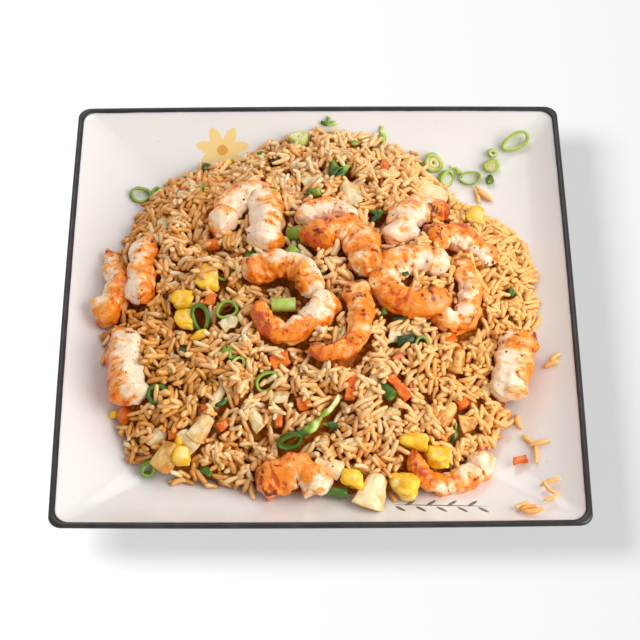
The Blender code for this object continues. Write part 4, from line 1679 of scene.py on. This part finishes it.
    def stand(self, count: int = 260) -> None:
        """Stick grains steeply into the surface, as some of them end up when rice is tossed."""
        rows, columns = np.nonzero((self.share < 0.95) & (np.abs(self.goal - self.top) < 1.5))
        for pick in self.random.permutation(len(rows))[:count]:
            row, column = rows[pick], columns[pick]
            heading = self.random.uniform(0, math.tau)
            slope = math.tan(math.radians(self.random.uniform(20, 50)))
            along = Vector((math.cos(heading), math.sin(heading), slope)).normalized()
            length = float(self.random.uniform(6.0, 9.0))
            height = float(self.top[row, column]) + length * 0.16
            place = (float(self.x[row, column]), float(self.y[row, column]), height)
            self.grains.append(Grain(place, tuple(along), length,
                                     float(self.random.uniform(*self.girths)),
                                     float(self.sauce_and_side_shade[row, column])))

    def scatter(self, spots: Sequence[tuple[float, float]]) -> None:
        """Lay loose grains at given places."""
        for x, y in spots:
            self.drop(x, y, 30.0)


@dataclass(frozen=True)
class RiceKind:
    """Colours of one kind of grain, its range of tones and its share of the rice."""
    name: str
    pale: Colour
    deep: Colour
    tones: tuple[float, float]
    seed: int
    share: float


RICE_KINDS = (
    RiceKind("rice_tan", srgb(255, 214, 158), srgb(238, 172, 84), (0.05, 0.55), 21, 0.32),
    RiceKind("rice_golden", srgb(252, 206, 144), srgb(232, 160, 70), (0.05, 0.55), 22, 0.30),
    RiceKind("rice_pale", srgb(255, 222, 178), srgb(248, 196, 122), (-0.1, 0.5), 23, 0.22),
    RiceKind("rice_brown", srgb(246, 196, 132), srgb(214, 144, 64), (0.1, 0.6), 24, 0.16),
)


@dataclass
class GrainMaker:
    """Meshes of all the grains of one kind, as one piece."""
    name: str
    finish: bpy.types.Material
    tones: tuple[float, float]
    seed: int
    sides: int = 6
    rings: int = 8
    shapes_made: int = 12
    shade: float = 0.24  # painted shade: how much browner a grain is drawn below than at its middle
    base_tone: float = 0.06

    def shapes(self) -> tuple[list[np.ndarray], list[tuple[int, ...]]]:
        """A few bent, blunt-ended grains made from one small ball, and their shared faces."""
        ball = start("grain_shape", bpy.ops.mesh.primitive_uv_sphere_add,
                     segments=self.sides, ring_count=self.rings, radius=1.0)
        points = np.array([point.co for point in ball.data.vertices])
        faces = [tuple(polygon.vertices) for polygon in ball.data.polygons]
        bpy.data.objects.remove(ball)
        random = np.random.default_rng(self.seed)
        marks = np.sin(np.linspace(0, math.pi / 2, self.rings // 2 + 1))
        made = []
        for _ in range(self.shapes_made):
            height = np.abs(points[:, 2])
            along = np.sign(points[:, 2]) * np.interp(height, marks, (0, 0.40, 0.74, 0.95, 1))
            round_off = np.interp(height, marks, (1, random.uniform(0.94, 1.02),
                                                  random.uniform(0.80, 0.96),
                                                  random.uniform(0.46, 0.64), 0))
            fat = round_off / (np.hypot(points[:, 0], points[:, 1]) + 1e-9)
            fat *= 1 + random.uniform(-0.2, 0.2) * along
            fat *= 1 + random.uniform(0.03, 0.13) * np.sin(along * 5 + random.uniform(0, 6))
            bend = random.uniform(-0.6, 0.9)
            sway = random.uniform(-0.35, 0.35)
            across = points[:, 0] * fat + bend * (along ** 2 - 0.4)
            above = points[:, 1] * fat * random.uniform(0.84, 0.98) + sway * (along ** 2 - 0.4)
            made.append(np.stack([along, across, above], 1))
        return made, faces

    def build(self, grains: list[Grain]) -> bpy.types.Object:
        """Make one mesh of all these grains.

        Args:
            grains: The grains of this kind.

        Returns:
            The piece.
        """
        shapes, faces = self.shapes()
        random = np.random.default_rng(self.seed + 1)
        points, tones = [], []
        for grain in grains:
            shape = shapes[random.integers(len(shapes))]
            along = Vector(grain.along)
            side = along.cross(Vector((0, 0, 1))).normalized()
            above = side.cross(along)
            roll = random.uniform(0, math.tau)
            across = side * math.cos(roll) + above * math.sin(roll)
            upward = above * math.cos(roll) - side * math.sin(roll)
            axes = np.array([along * grain.length / 2, across * grain.girth,
                             upward * grain.girth])
            placed = shape @ axes
            points.append(placed + np.array(grain.middle))
            tone = random.uniform(*self.tones) + grain.sauce_and_shade + self.base_tone
            # Painted shade: the lower side of each grain is drawn browner, the upper side paler.
            under = np.clip(-placed[:, 2] / grain.girth, -1.3, 1.3)
            tones.append(tone + self.shade * under + shape[:, 0] * random.uniform(-0.12, 0.12))
        mesh = bpy.data.meshes.new(self.name)
        mesh.from_pydata(np.concatenate(points) * MM, [],
                         [[corner + index * len(shapes[0]) for corner in face]
                          for index in range(len(grains)) for face in faces])
        piece = piece_of(mesh)
        paint_points(piece, "tone", np.concatenate(tones))
        return hand_over(piece, Slot.RICE, self.finish)


@dataclass
class RiceCore:
    """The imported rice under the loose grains."""
    bed: RiceBed
    rings: int = 46
    sectors: int = 150
    extent: float = 0.95  # share of the heap's reach that it fills
    edge: float = 0.4  # height of its rim over the plate, in millimetres
    sole: float = 6.9  # height of its flat base

    def model(self) -> bpy.types.Object:
        """Disc of rings raised to the height map, closed by a skirt and a flat base."""
        bed = self.bed
        points, faces = [(0.0, 0.0, self.height(0.0, 0.0))], []
        for ring in range(1, self.rings + 1):
            share = self.extent * ring / self.rings
            for sector in range(self.sectors):
                angle = sector / self.sectors * math.tau
                reach = float(bed.dish.reach(angle)) * share
                x, y = reach * math.cos(angle), reach * math.sin(angle)
                points.append((x, y, self.height(x, y)))
        outer = len(points) - self.sectors
        for x, y, _ in points[outer:]:
            points.append((x, y, float(bed.dish.plate(x, y)) + self.edge))
        points.append((0.0, 0.0, self.sole))
        count = self.sectors
        for sector in range(count):
            following = (sector + 1) % count
            faces.append((0, 1 + sector, 1 + following))
            for ring in range(self.rings):
                low, high = 1 + ring * count, 1 + (ring + 1) * count
                faces.append((low + sector, high + sector, high + following, low + following))
            last = 1 + self.rings * count
            faces.append((last + sector, len(points) - 1, last + following))
        mesh = bpy.data.meshes.new("rice_core")
        mesh.from_pydata([[c * MM for c in point] for point in points], [], faces)
        piece = piece_of(mesh)
        in_edit_mode(piece, lambda: bpy.ops.mesh.normals_make_consistent(inside=False))
        return piece

    def height(self, x: float, y: float) -> float:
        """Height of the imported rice, a little under the lowest grains."""
        bed = self.bed
        row, column = bed.cell_at(x, y)
        floor = float(bed.plate[row, column]) + self.edge
        if bed.share[row, column] > bed.core_share:
            return floor
        return max(floor, float(bed.goal[row, column]) - bed.depth)

    def build(self) -> bpy.types.Object:
        """Model the core and paint it dark brown, as painted shade between the grains."""
        return hand_over(self.model(), Slot.RICE, CoreShade().make(), "rice_heap")


@dataclass
class Specks:
    """Ground pepper and crumbs that cling to the food."""
    bed: RiceBed
    count: int = 170
    seed: int = 5

    def build(self) -> bpy.types.Object:
        """Model the specks as one piece."""
        random = np.random.default_rng(self.seed)
        specks = bmesh.new()
        for index in range(self.count):
            angle, share = random.uniform(0, math.tau), math.sqrt(random.uniform(0, 0.95))
            reach = float(self.bed.dish.reach(angle)) * share
            x, y = reach * math.cos(angle), reach * math.sin(angle)
            row, column = self.bed.cell_at(x, y)
            size = random.uniform(0.25, 0.6)
            spot = Vector((x, y, float(self.bed.top[row, column]) + size * 0.3)) * MM
            speck = bmesh.ops.create_icosphere(specks, subdivisions=1, radius=size * MM)
            for vert in speck["verts"]:
                vert.co *= 1 + 0.5 * noise.noise(vert.co * 900 + Vector((index, 0, 0)))
                vert.co += spot
        mesh = bpy.data.meshes.new("pepper_specks")
        specks.to_mesh(mesh)
        specks.free()
        return hand_over(piece_of(mesh), Slot.RICE, PepperSpeck().make())


# --- Dish ----------------------------------------------------------------------------------------

@dataclass
class Dish:
    """The whole dish: plate, toppings, garnish and rice."""
    shape: DishShape = field(default_factory=DishShape)
    loose: tuple[tuple[float, float], ...] = (
        (92, -55), (99, -73), (102, -82), (107, -99), (106, -103), (107, -109), (96, -114),
        (93, -112), (98, -117), (112, -33), (114, -30), (107, -7), (82, 77), (84, 80), (86, 76),
        (50, 99), (-105, -27), (95, -62), (104, -76))

    def __post_init__(self) -> None:
        """Mix the finishes that several pieces share."""
        self.curd = SoftCurd().make()
        self.pale = OnionLayer("onion_pale", srgb(248, 224, 176), srgb(232, 182, 104),
                               0.32).make()
        self.amber = OnionLayer("onion_amber", srgb(238, 196, 112), srgb(206, 132, 40),
                                0.4).make()
        self.green, self.orange = LeafGreen().make(), CarrotCut().make()

    def build_toppings(self) -> list[bpy.types.Object]:
        """Model the shrimp, egg, onion, carrot and spring onion that have solids."""
        made = [Shrimp(curl, self.shape).build() for curl in SHRIMPS]
        made += [EggCurd(node, self.curd).build() for node in sorted(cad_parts)
                 if node.startswith("egg_")]
        made += [OnionSlice(cut, self.shape, self.amber if cut.amber else self.pale).build()
                 for cut in SLICES]
        return made + self.build_carrots() + self.build_stalks()

    def build_carrots(self) -> list[bpy.types.Object]:
        """Model the larger carrot pieces."""
        made = []
        for node, length, width, thick, heading in (
                ("carrot_dice_center", 9, 7, 5, 20), ("carrot_stick_left", 14, 5, 4, 80),
                ("carrot_stick_right", 14, 4.5, 4, 130), ("carrot_stick_plate", 7, 3.6, 3.4, 5)):
            piece = carrot_block(f"{node}_cut", length, width, thick, heading)
            self.move_to_node(piece, node, heading)
            made.append(hand_over(piece, Slot.CARROT, self.orange, node))
        return made

    def build_stalks(self) -> list[bpy.types.Object]:
        """Model the larger pieces of spring onion stalk."""
        made = []
        for node, stalk in (
                ("spring_onion_cylinder", Stalk(0, 0, 6.5, 6.3, 11.5, 0.28, 90, 90, 1.5)),
                ("spring_onion_slice", Stalk(0, 0, 9.5, 9.0, 5.0, 0.22, 0, 0, 1.9, 3))):
            piece = stalk_piece(f"{node}_cut", stalk)
            self.move_to_node(piece, node, stalk.heading, stalk.lean)
            made.append(hand_over(piece, Slot.SPRING_ONION, self.green, node))
        return made

    def move_to_node(self, piece: bpy.types.Object, node: str, heading: float,
                     lean: float = 0.0) -> None:
        """Turn a piece with the rice under it and put its middle on its solid's."""
        target = node_middle(node)
        piece.data.transform(self.shape.seat(target.x / MM, target.y / MM, 0, heading, lean))
        centre_on(piece, target)

    def build(self) -> None:
        """Build the dish in order, with the rice last, around everything else."""
        Plate().build()
        toppings = self.build_toppings()
        garnish = Garnish(self.shape, self.green, self.orange, self.curd, self.pale).build()
        bed = RiceBed(self.shape)
        RiceCore(bed).build()
        for piece in toppings + garnish:
            bed.press(piece, piece.name.startswith(("egg", "onion", "carrot")))
        bed.fill()
        bed.stand()
        bed.scatter(self.loose)
        self.build_grains(bed.grains)
        Specks(bed).build()

    def build_grains(self, grains: list[Grain]) -> None:
        """Deal the grains out to the kinds of rice and model each kind."""
        shares = [kind.share for kind in RICE_KINDS]
        picks = np.random.default_rng(3).choice(len(RICE_KINDS), len(grains), p=shares)
        for index, kind in enumerate(RICE_KINDS):
            coat = GrainCoat(f"{kind.name}_coat", kind.pale, kind.deep).make()
            GrainMaker(kind.name, coat, kind.tones, kind.seed).build(
                [grain for grain, pick in zip(grains, picks) if pick == index])


# --- Studio --------------------------------------------------------------------------------------

@dataclass(frozen=True)
class Lamp:
    """A soft box light, in metres and watts."""
    name: str
    place: tuple[float, float, float]
    size: float
    power: float
    colour: Colour = (1.0, 1.0, 1.0)
    floor_only: bool = False  # lights the floor alone, not all but the floor


@dataclass
class Studio:
    """Pale floor, soft light and the camera."""
    lens: float = 119.86
    camera_place: tuple[float, float, float] = (-0.00296, -0.60180, 0.87790)
    elevation: float = 55.316
    yaw: float = 0.319
    sky: float = 0.54
    lamps: tuple[Lamp, ...] = (
        Lamp("key", (1.2, -0.45, 1.02), 1.6, 25.0, (1.0, 0.98, 0.95)),
        Lamp("fill", (-0.15, 0.9, 1.0), 0.8, 3.0),
        Lamp("floor_lamp", (-1.05, 0.12, 1.0), 0.8, 24.0, floor_only=True),
    )

    def build_floor(self) -> None:
        """Lay a wide white floor under the plate."""
        floor = start("floor", bpy.ops.mesh.primitive_plane_add, size=6.0)
        in_edit_mode(floor, lambda: bpy.ops.mesh.subdivide(number_cuts=4))
        paint = Paint("floor_white", specular_ior_level=0.0, emission_strength=0.38)
        paint.shader.inputs["Emission Color"].default_value = (1, 1, 1, 1)
        floor.data.materials.append(paint.finish((0.5, 0.5, 0.5), 0.9))

    def build_lights(self) -> None:
        """Hang the soft boxes and light the room evenly."""
        world = bpy.data.worlds.new("studio")
        world.use_nodes = True
        background = world.node_tree.nodes["Background"]
        background.inputs["Color"].default_value = (1, 1, 1, 1)
        background.inputs["Strength"].default_value = self.sky
        bpy.context.scene.world = world
        for lamp in self.lamps:
            light = bpy.data.lights.new(lamp.name, "AREA")
            light.shape, light.size = "DISK", lamp.size
            light.energy, light.color = lamp.power, lamp.colour
            holder = bpy.data.objects.new(lamp.name, light)
            bpy.context.scene.collection.objects.link(holder)
            holder.location = lamp.place
            aim = -Vector(lamp.place)
            holder.rotation_euler = aim.to_track_quat("-Z", "Y").to_euler()
            lit = bpy.data.collections.new(f"{lamp.name}_lights")
            lit.objects.link(bpy.data.objects["floor"])
            state = "INCLUDE" if lamp.floor_only else "EXCLUDE"
            lit.collection_objects[0].light_linking.link_state = state
            holder.light_linking.receiver_collection = lit

    def build_camera(self) -> None:
        """Set the camera above the front of the plate."""
        camera = bpy.data.cameras.new("camera")
        camera.lens = self.lens
        camera.sensor_width = 36.0
        holder = bpy.data.objects.new("camera", camera)
        bpy.context.scene.collection.objects.link(holder)
        holder.location = self.camera_place
        holder.rotation_euler = (math.radians(90 - self.elevation), 0, math.radians(-self.yaw))
        bpy.context.scene.camera = holder

    def build(self) -> None:
        """Build the whole studio."""
        bpy.context.scene.view_settings.view_transform = "Standard"
        self.build_camera()
        self.build_floor()
        self.build_lights()


def main() -> None:
    """Build the studio and the dish."""
    logging.basicConfig(level=logging.INFO, format="%(name)s: %(message)s")
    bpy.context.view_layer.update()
    Studio().build()
    Dish().build()


if __name__ == "__main__":
    main()
